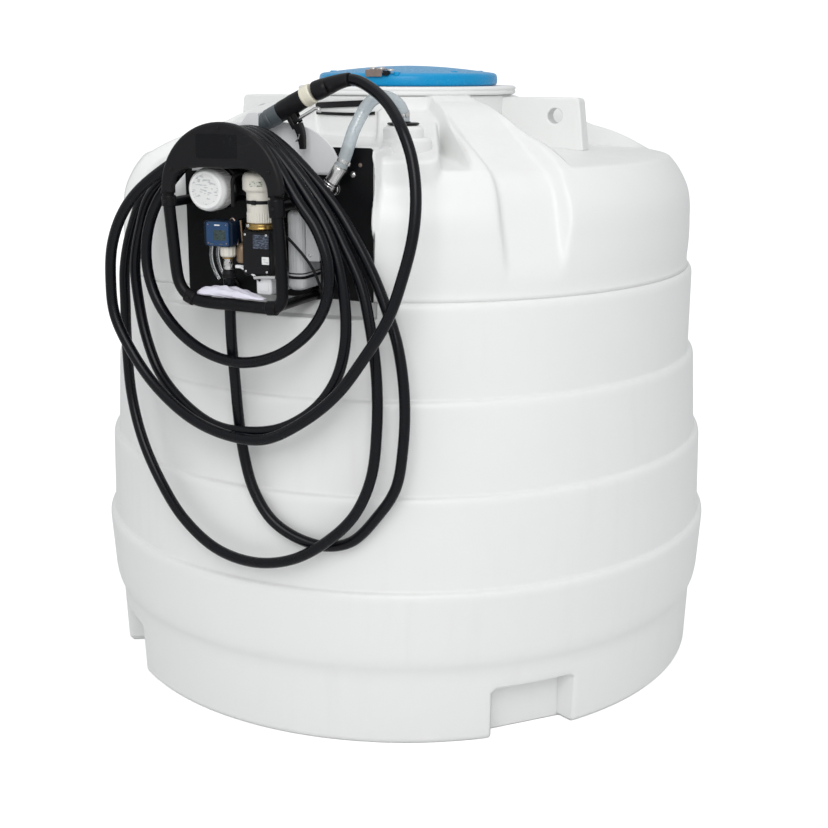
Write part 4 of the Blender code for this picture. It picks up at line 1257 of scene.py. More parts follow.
    def roof_form(self) -> Form:
        """Build the roof as one closed shell: outer rows, the mouth, and inner rows.

        Returns:
            The closed shell.
        """
        gap = rounded(self.shoulder, self.shoulder_reach, 6, closed=False)[:-1] - np.array(self.centre)
        knots = np.arctan2(gap[:, 1], gap[:, 0])
        travel = np.append(0, np.cumsum(np.hypot(*np.diff(gap, axis=0).T)))
        by_length = np.interp(np.linspace(0, travel[-1], 66), travel, knots)
        rises = np.unique(np.concatenate([by_length, np.linspace(*self.brow, 26),
                                          np.linspace(knots[-1] * 0.82, knots[-1], 26)]))
        outer = self.fan(rises[:-1], 0.0)
        outer[0] = self.fan(rises[:1], -0.0006)
        outer[0, :, 2] = self.base
        inner = self.fan(np.radians(np.array((86.0, 79.0, 77.0, 75.5, 73.0, 69.0, 62.0, 54.0, 46.0,
                                              38.0, 33.0, 28.0, 20.0, 10.0, 0.0))), -self.skin)
        inner[-1, :, 2] = self.base
        top = self.neck[1]
        mouth = [self.ring(self.neck[0] - 0.001, top), self.ring(self.bore + 0.002, top),
                 self.ring(self.bore, top - 0.002), self.ring(self.bore, top - self.skin)]
        return grid(np.concatenate([outer, *mouth, inner]), wrap_v=True)

    def wall_line(self) -> Array:
        """Give the wall's stepped outline as radius and height, with its corners rounded.

        Returns:
            The points from the foot up.
        """
        corners, radii = list(self.belt), [0.001, 0.008, 0.03, 0.03]
        out, drop = self.ledge
        for radius, height in self.creases:
            corners += [(radius + out, height - drop), (radius + out - 0.006, height - 0.0025),
                        (radius, height)]
            radii += [0.012, 0.006, 0.006]
        return rounded(corners, radii, 6, closed=False)

    def wall_form(self) -> Form:
        """Build the wall as one closed shell: outer rows up, inner rows down, and its foot.

        Returns:
            The closed shell.
        """
        line = self.wall_line()
        extra = np.array((0.004, 0.03, 0.06, 0.09, 0.115, 0.128, 0.135, 0.139, 0.142, 0.146, 0.152,
                          0.165, 0.3, 0.36, 0.5, 0.58, 0.72, 0.82, 0.96, 1.04, 1.09, 1.108, 1.1155,
                          1.119, 1.1205, 1.123, 1.128))
        heights = np.unique(np.round(np.concatenate([line[:, 1], extra]), 5))
        heights = heights[np.append(True, np.diff(heights) > 0.0004)]
        turn = self.azimuths()[None, :]
        out = np.stack(np.broadcast_arrays(np.sin(turn), -np.cos(turn), np.zeros_like(turn)), -1)

        def level_rays(rows: Array, level: float) -> Array:
            """Read the wall along level rays at given heights.

            Args:
                rows: the heights.
                level: the distance to find.

            Returns:
                The points, rows by columns.
            """
            heading = np.broadcast_to(out, (len(rows), self.columns, 3))
            start = heading * 0.6 + np.array((0.0, 0.0, 1.0)) * rows[:, None, None]
            return solve_rays(start, heading, np.full(heading.shape[:2], 0.36),
                              lambda p: self.wall_distance(p, line), level)

        outer = level_rays(heights, 0.0)
        rows = np.array((1.16, 1.1, 1.05, 0.93, 0.9, 0.7, 0.66, 0.45, 0.41, 0.24, 0.18, 0.152,
                         0.12, 0.03))
        inner = level_rays(rows, -self.skin)
        foot = [self.ring(self.floor_radius, self.skin), self.ring(self.floor_radius, 0.0)]
        foot[0] = np.concatenate([inner[-1:] * (1, 1, 0) + (0, 0, self.skin), foot[0]])
        return grid(np.concatenate([outer, inner, *foot]), wrap_v=True)

    def build(self) -> None:
        """Build the wall, the roof and the stepped boss on the pad."""
        build(self.wall_form(), "tank_wall", POLYETHYLENE,
              ("wall_front_right", "wall_back_right", "wall_back_left", "wall_front_left"))
        build(self.roof_form(), "tank_roof", POLYETHYLENE,
              ("roof_front_right", "roof_back_right", "roof_back_left", "roof_front_left"))
        dress("tank_floor", POLYETHYLENE)
        steps = []
        for radial, azimuth, radius, low, high in (self.boss, self.step):
            turn = math.radians(azimuth)
            form = turned([(radius, low), (radius, high - 0.007), (radius - 0.008, high)], 0.004, 72)
            steps.append(form.moved(radial * math.sin(turn), -radial * math.cos(turn)))
        build(join(steps), "suction_boss", POLYETHYLENE)


@dataclass
class Lugs:
    """The two thick moulded lifting lugs. Each is a ring of sections round its hole."""

    thick: float = 0.062
    edge: float = 0.005
    hole: tuple = (0.461, 1.582, 0.021)
    outline: tuple = ((0.301, 1.5), (0.547, 1.4865), (0.53, 1.632), (0.301, 1.632))

    def form(self) -> Form:
        """Build one lug: the section runs from the hole over a face, down the edge and back.

        Returns:
            The closed form of the lug at +X.
        """
        centre, radius = np.array(self.hole[:2]), self.hole[2]
        ring = rounded(self.outline, (0.004, 0.006, 0.014, 0.004), 8)
        angle = np.arctan2(*(ring - centre).T[::-1])
        turn = np.unique(np.concatenate([angle, np.linspace(-math.pi, math.pi, 220, endpoint=False)]))
        order = np.argsort(angle)
        rim = np.stack([np.interp(turn, angle[order], ring[order, k], period=2 * math.pi)
                        for k in range(2)], axis=1)
        eye = centre + radius * np.stack([np.cos(turn), np.sin(turn)], axis=1)
        return slab(eye, rim, self.thick, self.edge, closed=True).placed(facing(self.thick / 2))

    def build(self) -> None:
        """Build both lugs."""
        right = self.form()
        build(right, "lifting_lug_right", POLYETHYLENE, ("lug_right",))
        mirrored = Form(right.points * (-1, 1, 1), right.quads[:, ::-1])
        build(mirrored, "lifting_lug_left", POLYETHYLENE, ("lug_left",))


@dataclass
class Manhole:
    """The rim on the neck, the domed lid, its hasp and the bolts of its hinge."""

    rim: tuple = (0.225, 0.318, 1.6388, 1.662)
    lid_radius: float = 0.261
    lid_shift: float = 0.0035
    seat: float = 1.6628
    hasp: tuple = ((-0.015, -0.269), (0.037, -0.269), (0.037, -0.222), (0.026, -0.21), (-0.004, -0.21),
                   (-0.015, -0.222))
    hasp_slope: tuple = (0.0611, 1.72)
    hasp_screws: tuple = ((-0.003, -0.238), (0.024, -0.244))
    tongue: tuple = ((-0.014, 0.036), (-0.2695, -0.2655), (1.6885, 1.707))
    catch: tuple = ((0.037, 0.051), (-0.2665, -0.24), (1.691, 1.7045))
    catch_bolt: tuple = (0.0555, -0.252, 1.703)
    bump: tuple = ((0.061, 0.078), (-0.252, -0.224), (1.689, 1.7015))
    buttons: tuple = (0.215, 1.7005, (-60, 60, 120, 240))
    hinge_bolts: tuple = ((-0.069, 0.069), (0.288, 0.304), 1.6971)

    def build_rim(self) -> None:
        """Build the rim: a ring whose section has a groove outside and a step on top."""
        bore, outer, low, high = self.rim
        section = rounded([(bore, low), (outer - 0.004, low), (outer, low + 0.004),
                           (outer, low + 0.0085), (outer - 0.0022, low + 0.0105),
                           (outer - 0.0022, low + 0.0125), (outer, low + 0.0145),
                           (outer, high - 0.004), (outer - 0.004, high), (0.278, high),
                           (0.275, high - 0.002), (0.27, high - 0.002), (0.267, high),
                           (bore, high)], 0.0022, 4)
        build(lathe(section, 240, closed=True), "manhole_rim_ring", RIM_WHITE, ("manhole_rim",))

    def build_lid(self) -> None:
        """Build the domed lid."""
        radius, seat = self.lid_radius, self.seat
        lid = [(0.24, seat + 0.001), (0.2405, seat), (radius - 0.006, seat),
               (radius - 0.0008, seat + 0.005), (radius, seat + 0.014),
               (radius - 0.0015, 1.6915), (radius - 0.009, 1.6975), (radius - 0.02, 1.699),
               (0.215, 1.7025), (0.16, 1.709), (0.1, 1.7145),
               (0.045, 1.7172), (0.0003, 1.718)]
        reach = [0.0004, 0.0004, 0.003, 0.006, 0.008, 0.006, 0.008, 0.006, 0.03, 0.035, 0.035, 0.03, 0]
        line = rounded([(0.0003, seat + 0.001)] + lid, [0] + reach, 5, closed=False)
        build(lathe(line, 240).moved(self.lid_shift), "lid_dome", LID_BLUE, ("manhole_lid",), Body.LID)

    def build_hasp(self) -> None:
        """Build the hasp: a plate that follows the lid's slope, its tongue, catch and screws."""
        rise, height = self.hasp_slope
        slope = Matrix(((1, 0, 0, 0), (0, 1, 0, 0), (0, rise, 1, height), (0, 0, 0, 1)))
        plate = extruded(rounded(self.hasp, 0.004), 0.003, 0.0008).placed(slope)
        tongue = box(*self.tongue, 0.003, 0.001, up=1)
        build(join([plate, tongue]), "hasp_plate", DULL_STEEL, ("lid_hasp",), Body.LID)
        knob = turned([(0.01, 0.0), (0.01, 0.004), (0.0065, 0.0062)], 0.0012, 28)
        screws = [knob.moved(x, y, 0.0028).placed(slope) for x, y in self.hasp_screws]
        build(join(screws), "hasp_screws", STEEL, (), Body.LID)
        build(box(*self.catch, 0.004, 0.002), "lid_catch", BLACK_PLASTIC, (), Body.LID)
        build(knob.moved(*self.catch_bolt), "catch_bolt", STEEL, (), Body.LID)
        build(box(*self.bump, 0.008, 0.004), "lid_moulding", LID_BLUE, (), Body.LID)

    def build_buttons(self) -> None:
        """Build the low buttons moulded on the lid."""
        ring, height, angles = self.buttons
        button = turned([(0.012, 0.0), (0.009, 0.0035)], 0.0012, 32)
        buttons = [button.moved(ring * math.sin(a), -ring * math.cos(a), height)
                   for a in np.radians(angles)]
        build(join(buttons), "lid_buttons", LID_BLUE, (), Body.LID)

    def build(self) -> None:
        """Build the rim, the lid, the hasp and the buttons, and dress the hinge."""
        self.build_rim()
        self.build_lid()
        self.build_hasp()
        self.build_buttons()
        dress("lid_hinge_posts", STEEL)
        dress("lid_hinge_leaf", STEEL)
        stud = join([turned([(0.0052, 0.0), (0.0052, 0.0022), (0.0035, 0.0034)], 0.0008, 20),
                     turned([(0.0075, -0.0006), (0.0075, 0.0006)], 0.0003, 24)])
        xs, ys, height = self.hinge_bolts
        build(join([stud.moved(x, y, height) for x in xs for y in ys]), "hinge_bolts", STEEL)


# Hoses

@dataclass
class DeliveryHose:
    """The long black hose: from the meter's outlet, over the saddle four times, to the nozzle."""

    radius: float = 0.0138
    drum: tuple = (-0.075, 1.43)
    drum_radius: float = 0.1205
    shield: tuple = (0.0221, 0.0161, 0.074)

    def over_saddle(self, lane: float) -> list:
        """Give the points of one pass over the saddle, in a lane at a given Y."""
        line = arc(self.drum, self.drum_radius + self.radius + 0.0007, 48, 132, 3)
        return [(x, lane, z) for x, z in line]

    def route(self) -> Array:
        """Give the route, whose points are those of the CAD hose, from outlet to nozzle.

        Returns:
            The knots of the hose, in metres.
        """
        over = self.over_saddle
        return np.array((
            (-0.096, -0.905, 1.2147), (-0.096, -0.905, 1.16), (-0.096, -0.903, 1.06),
            (-0.091, -0.9, 0.96), (-0.085, -0.9, 0.87), (-0.07, -0.903, 0.765),
            (-0.04, -0.912, 0.68), (0.01, -0.916, 0.61), (0.08, -0.914, 0.57),
            (0.155, -0.905, 0.555), (0.225, -0.9, 0.575), (0.29, -0.89, 0.645),
            (0.335, -0.88, 0.72), (0.35, -0.87, 0.82), (0.35, -0.86, 0.94),
            (0.33, -0.85, 1.06), (0.298, -0.84, 1.145), (0.26, -0.836, 1.23),
            (0.21, -0.836, 1.32), (0.15, -0.833, 1.405), *over(-0.825),
            (-0.37, -0.825, 1.41), (-0.42, -0.825, 1.32), (-0.45, -0.825, 1.215),
            (-0.455, -0.825, 1.11), (-0.46, -0.82, 0.99), (-0.45, -0.825, 0.87),
            (-0.41, -0.845, 0.76), (-0.345, -0.87, 0.66), (-0.255, -0.905, 0.575),
            (-0.145, -0.93, 0.515), (-0.025, -0.945, 0.5), (0.085, -0.948, 0.525),
            (0.18, -0.94, 0.585), (0.245, -0.925, 0.655), (0.28, -0.905, 0.745),
            (0.29, -0.89, 0.865), (0.285, -0.88, 1.0), (0.265, -0.872, 1.12),
            (0.24, -0.865, 1.21), (0.195, -0.861, 1.3), (0.145, -0.858, 1.385), *over(-0.855),
            (-0.34, -0.855, 1.405), (-0.375, -0.86, 1.315), (-0.395, -0.86, 1.225),
            (-0.39, -0.86, 1.135), (-0.365, -0.87, 1.04), (-0.32, -0.885, 0.955),
            (-0.24, -0.91, 0.89), (-0.14, -0.93, 0.845), (-0.035, -0.94, 0.84),
            (0.06, -0.94, 0.86), (0.145, -0.93, 0.915), (0.195, -0.92, 0.985),
            (0.215, -0.91, 1.06), (0.215, -0.9, 1.145), (0.2, -0.895, 1.24),
            (0.17, -0.89, 1.325), (0.125, -0.887, 1.4), *over(-0.885),
            (-0.3, -0.885, 1.395), (-0.335, -0.89, 1.305), (-0.335, -0.895, 1.22),
            (-0.305, -0.9, 1.14), (-0.235, -0.915, 1.07), (-0.14, -0.93, 1.025),
            (-0.04, -0.94, 1.015), (0.06, -0.94, 1.045), (0.14, -0.93, 1.11),
            (0.175, -0.92, 1.18), (0.18, -0.92, 1.265), (0.15, -0.917, 1.345),
            (0.105, -0.915, 1.405), *over(-0.915),
            (-0.33, -0.915, 1.425), (-0.385, -0.92, 1.36), (-0.42, -0.92, 1.28),
            (-0.43, -0.92, 1.19), (-0.42, -0.925, 1.105), (-0.375, -0.93, 1.02),
            (-0.3, -0.94, 0.935), (-0.19, -0.957, 0.865), (-0.075, -0.972, 0.835),
            (0.025, -0.972, 0.835), (0.125, -0.97, 0.885), (0.215, -0.96, 0.96),
            (0.285, -0.95, 1.055), (0.34, -0.935, 1.15), (0.37, -0.92, 1.245),
            (0.39, -0.905, 1.345), (0.39, -0.89, 1.435), (0.373, -0.875, 1.515),
            (0.343, -0.86, 1.578), (0.305, -0.835, 1.623), (0.276, -0.82, 1.647),
            (0.244, -0.81, 1.667), (0.212, -0.8, 1.681), (0.184, -0.794, 1.686),
            (0.156, -0.789, 1.6815)))

    def build(self, end: Array, heading: Array, nozzle: Sequence) -> None:
        """Args:
            end: the point where it meets the swivel.
            heading: the direction from the swivel into the hose.
            nozzle: the pieces of the nozzle; not used.
        """
        knots = np.vstack([self.route(), end + heading * 0.022, end])
        line = even_steps(smooth_line(knots, 24), 0.008)
        back = np.append(0, np.cumsum(np.linalg.norm(np.diff(line[::-1], axis=0), axis=1)))
        cover = (back > 0.0005) & (back < self.shield[2])
        shield, share = line[::-1][cover], back[cover] / self.shield[2]
        turn = np.linspace(0, 2 * math.pi, 40, endpoint=False)
        ring = np.stack([np.cos(turn), np.sin(turn)], axis=1)
        sizes = self.shield[1] + (self.shield[0] - self.shield[1]) * (1 - share) ** 1.25
        guard = build(swept(ring, shield, sizes), "hose_shield", BLACK_PLASTIC)
        hose = tube("fuel_hose", line, self.radius, HOSE_RUBBER, ("delivery_hose",), 5)
        LOG.info("fuel_hose is %.2f m long", line_length(line))


# Small parts that several assemblies share

def fluted(profile: Sequence, count: int, depth: float, low: float, high: float,
           segments: int = 240) -> Form:
    """Turn a profile whose radius dips by a cosine of the turn, between two heights.

    Args:
        profile: (radius, height) points from the bottom up, without points on the axis.
        count: how many flutes go round.
        depth: how deep a flute is.
        low: the height where the flutes start.
        high: the height where they end.
        segments: how many columns go round.

    Returns:
        The closed form.
    """
    corners = np.array([(0.0003, profile[0][1]), *profile, (0.0003, profile[-1][1])])
    inside = (corners[:, 1] >= low) & (corners[:, 1] <= high) & (corners[:, 0] > 0.001)
    turn = np.arange(segments) * 2 * math.pi / segments
    dip = depth * (0.5 - 0.5 * np.cos(count * turn)) ** 0.6
    r = corners[:, :1] - inside[:, None] * dip[None, :]
    z = np.broadcast_to(corners[:, 1:], r.shape)
    return grid(np.stack([r * np.cos(turn), r * np.sin(turn), z], axis=-1), caps=True)


def hexagon(radius: float, depth: float, edge: float = 0.0006) -> Form:
    """Make a six-sided nut along +Z from zero.

    Args:
        radius: from the middle to a corner.
        depth: its height.
        edge: radius of its edges.

    Returns:
        The closed form.
    """
    turn = np.radians(np.arange(6) * 60.0)
    ring = np.stack([radius * np.cos(turn), radius * np.sin(turn)], axis=1)
    return extruded(rounded(ring, radius * 0.12, 3), depth, edge, 3)


def bolt(radius: float = 0.006) -> Form:
    """Make a washer, a six-sided head and a domed end along +Z from zero.

    Args:
        radius: of the head.

    Returns:
        The closed forms in one.
    """
    return join([turned([(radius * 1.5, -0.0005), (radius * 1.5, radius * 0.2)], 0.0003, 28),
                 hexagon(radius, radius * 0.85).moved(z=radius * 0.15),
                 turned([(radius * 0.6, radius * 0.9), (radius * 0.35, radius * 1.15)], 0.0004, 20)])


def screw(radius: float = 0.003) -> Form:
    """Make a domed screw head with a six-sided socket ring along +Z from zero.

    Args:
        radius: of the head.

    Returns:
        The closed forms in one.
    """
    return join([turned([(radius, -0.0004), (radius, radius * 0.45), (radius * 0.7, radius * 0.7)],
                        radius * 0.18, 24),
                 hexagon(radius * 0.42, 0.0003, 0.0001).moved(z=radius * 0.7)])


def on_front(form: Form, x: float, y: float, z: float) -> Form:
    """Stand a form on a face that looks towards -Y, at a point."""
    return form.placed(facing(y)).moved(x, 0.0, z)


def band_round(plan: Array, low: float, high: float, grow: float, edge: float = 0.0006) -> Form:
    """Make a plate of an upright form's plan, grown a little, between two heights.

    Args:
        plan: the (x, y) ring of the form.
        low: the lower height.
        high: the upper height.
        grow: how far it stands out.
        edge: radius of its edges.

    Returns:
        The closed form.
    """
    middle = plan.mean(axis=0)
    away = plan - middle
    reach = np.linalg.norm(away, axis=1, keepdims=True)
    return extruded(plan + away / reach * grow, high - low, edge).moved(z=low)


@dataclass
class PumpFrame:
    """The back plate, the bent tube before it, the four arms between them and their bolts."""

    plate: tuple = ((-0.31, 0.217), (-0.7413, -0.7353), (1.143, 1.525))
    front: float = -0.95
    radius: float = 0.0145
    loop: tuple = ((-0.2305, 1.426), (-0.229, 1.392), (-0.222, 1.31), (-0.215, 1.23), (-0.211, 1.21),
                   (-0.203, 1.1925), (-0.189, 1.177), (-0.168, 1.166), (-0.14, 1.1605), (-0.05, 1.158),
                   (0.038, 1.156), (0.054, 1.158), (0.066, 1.1665), (0.0725, 1.18), (0.0732, 1.198),
                   (0.0705, 1.3), (0.0635, 1.392), (0.062, 1.426))
    arms: tuple = (("upper_left", -0.2285, 1.397), ("upper_right", 0.0635, 1.397),
                   ("lower_left", -0.178, 1.168), ("lower_right", 0.06, 1.16))
    arm_radius: float = 0.012
    bolts: tuple = ((0.184, 1.484), (0.186, 1.166), (-0.288, 1.5))

    def build(self) -> None:
        """Build the plate, the loop, the arms with their collars, and the bolts."""
        face = self.plate[1][0]
        build(box(*self.plate, 0.01, 0.0012, up=1), "back_plate", BLACK_PAINT, ("pump_plate",))
        line = smooth_line([(x, self.front, z) for x, z in self.loop], 10)
        tube("frame_tube", line, self.radius, BLACK_PAINT, ("frame_loop",), 7)
        for name, x, z in self.arms:
            arm = turned([(self.arm_radius, 0.0), (self.arm_radius, -self.front + face)], 0.001, 40)
            foot = turned([(0.02, 0.0), (0.02, 0.004), (self.arm_radius + 0.002, 0.0065)], 0.001, 40)
            build(join([arm, foot]).placed(facing(face - 0.0002)).moved(x, 0.0, z), "arm_" + name,
                  BLACK_PAINT, ("frame_arm_" + name,))
        collar = turned([(0.0165, -0.013), (0.0178, -0.011), (0.0178, 0.011), (0.0165, 0.013)],
                        0.002, 40)
        clamp = turned([(0.0185, -0.021), (0.0195, -0.018), (0.0195, 0.018), (0.0185, 0.021)],
                       0.002, 40)
        lean = aim((0.0635, self.front, 1.394), (-0.075, 0.0, 1.0))
        parts = [collar.placed(aim((-0.229, self.front, 1.401), (-0.05, 0.0, 1.0))), clamp.placed(lean),
                 collar.placed(aim((-0.178, self.front, 1.17), (1.0, 0.0, -0.45))),
                 collar.placed(aim((0.046, self.front, 1.157), (1.0, 0.0, 0.05)))]
        build(join(parts), "frame_collars", BLACK_PAINT)
        heads = [on_front(bolt(0.0034), x, face, z) for x, z in self.bolts]
        build(join(heads), "plate_bolts", DULL_STEEL)
        pins = [on_front(screw(0.0042), x, self.front - self.radius - dy, z)
                for x, z, dy in ((0.0635, 1.394, 0.0045), (-0.229, 1.401, 0.003),
                                 (-0.178, 1.17, 0.003))]
        build(join(pins), "collar_screws", BLACK_PLASTIC)


@dataclass
class HoseSaddle:
    """The pale half drum that carries the hose, its back flange, and the black arch in front."""

    centre: tuple = (-0.075, 1.43)
    radius: float = 0.12
    back: float = -0.7416
    front: float = -0.9375
    flange: tuple = (0.212, 0.155, 0.028)
    power: float = 2.6
    arch_centre: tuple = (-0.08, 1.425)
    arch_radius: float = 0.165
    opening: tuple = ((-0.2125, 1.42), (-0.211, 1.444), (-0.2, 1.464), (-0.18, 1.477), (-0.15, 1.482),
                      (-0.08, 1.4825), (-0.015, 1.482), (0.015, 1.4755), (0.034, 1.46), (0.042, 1.44),
                      (0.044, 1.42))
    badge: tuple = ((-0.141, 1.5055), (-0.03, 1.5055), (-0.03, 1.5625), (-0.141, 1.5625))
    screws: tuple = ((-0.211, 1.478), (0.051, 1.478), (-0.0805, 1.5755))

    def shell(self, outer: float, thick: float, end: float, edge: float) -> Form:
        """Build half a drum from the plate to the arch, between two angles.

        Args:
            outer: the drum's outer radius.
            thick: its thickness.
            end: the angle of its lower ends, in degrees above level.
            edge: radius of its edges.

        Returns:
            The closed form, in place.
        """
        lines = [arc(self.centre, r, end, 180 - end, 60) for r in (outer - thick, outer)]
        return slab(*lines, self.back - self.front, edge).placed(facing(self.back))

    def flange_form(self) -> Form:
        """Build the flange between an arc on the drum and a superellipse outside it.

        Returns:
            The closed form, in place.
        """
        wide, tall, foot = self.flange
        end = (1 - (foot / tall) ** self.power) ** (1 / self.power)
        share = np.sin(np.linspace(1, -1, 61) * math.asin(end))
        rise = (1 - np.abs(share) ** self.power) ** (1 / self.power)
        outer = np.array(self.centre) + np.stack([wide * share, tall * rise], axis=1)
        start = math.degrees(math.asin(foot / (self.radius - 0.008)))
        inner = arc(self.centre, self.radius - 0.008, start, 180 - start, 60)
        return slab(inner, outer, 0.0065, 0.0025).placed(facing(self.back - 0.0004))

    def arch_form(self) -> Form:
        """Build the arch between a soft-cornered opening and an arc outside it.

        Returns:
            The closed form, in place.
        """
        outer = np.vstack([[(0.0805, 1.419)], arc(self.arch_centre, self.arch_radius, 2, 178, 70),
                           [(-0.2485, 1.419)]])
        inner = smooth_line(self.opening[::-1], 12)
        travel = np.append(0, np.cumsum(np.linalg.norm(np.diff(inner, axis=0), axis=1)))
        marks = np.linspace(0, travel[-1], len(outer))
        inner = np.stack([np.interp(marks, travel, inner[:, k]) for k in range(2)], axis=1)
        return slab(inner, outer, 0.026, 0.0105, 8).placed(facing(self.front - 0.0003))

    def build(self) -> None:
        """Build drum and flange, arch, the bare badge on it and its screws."""
        lining = self.shell(self.radius - 0.0035, 0.004, 25, 0.0015)
        build(lining, "saddle_lining", BLACK_PLASTIC)
        drum = join([self.shell(self.radius, 0.0032, 31, 0.0012), self.flange_form()])
        build(drum, "saddle_drum", PALE_PLASTIC, ("hose_saddle",))
        build(self.arch_form(), "saddle_front_arch", BLACK_PLASTIC, ("saddle_arch",))
        badge = extruded(rounded(self.badge, 0.006), 0.0016, 0.0007)
        build(badge.placed(facing(self.front - 0.0255)), "bare_badge", BLACK_PAINT)
        heads = [on_front(screw(0.0045), x, self.front - 0.0258, z) for x, z in self.screws]
        build(join(heads), "arch_screws", BLACK_PLASTIC)


@dataclass
class FluidFilter:
    """The white filter cap with its label, its black head and the pipe beside it."""

    centre: tuple = (-0.14, 1.428)
    back: float = -0.87
    depth: float = 0.06
    radius: float = 0.0525
    plate: float = -0.7416
    port: tuple = ((0.013, 0.0), (0.013, 0.03), (0.016, 0.032), (0.016, 0.042))
    port_place: tuple = (0.03, -0.835, -0.006)
    pipe: tuple = ((-0.0745, -0.912, 1.39), (-0.074, -0.912, 1.42), (-0.073, -0.912, 1.452),
                   (-0.069, -0.905, 1.464), (-0.06, -0.89, 1.468))

    def build(self) -> None:
        """Build the cap, the label on its face, the head behind it, the port and the pipe."""
        x, z = self.centre
        r, d = self.radius, self.depth
        corners = rounded([(r - 0.004, 0.0), (r - 0.001, 0.004), (r, 0.01), (r, d - 0.018),
                           (r - 0.002, d - 0.01), (r - 0.008, d - 0.001), (r - 0.0115, d),
                           (r - 0.013, d - 0.0012), (r - 0.014, d - 0.0006)], 0.0022, 5, closed=False)
        cap = fluted(corners, 40, 0.0011, 0.009, d - 0.017)
        build(on_front(cap, x, self.back, z), "filter_end_cap", POLYETHYLENE, ("filter_cap",))
        label = turned([(0.0365, 0.0), (0.0365, 0.0005)], 0.0002, 64)
        build(on_front(label, x, self.back - d + 0.0003, z), "filter_face", FILTER_LABEL)
        long = self.plate - self.back - 0.0003
        head = turned([(0.04, 0.0), (0.04, long - 0.022), (0.052, long - 0.02),
                       (0.053, long - 0.004), (0.051, long)], 0.002, 64)
        side, back, down = self.port_place
        port = turned(self.port, 0.001, 32).placed(aim((x + side, back, z + down), (1, 0, 0)))
        build(join([on_front(head, x, self.plate, z), port]), "filter_housing", BLACK_PLASTIC,
              ("filter_head",))
        tube("bypass_pipe", smooth_line(self.pipe), 0.005, BLACK_PLASTIC)


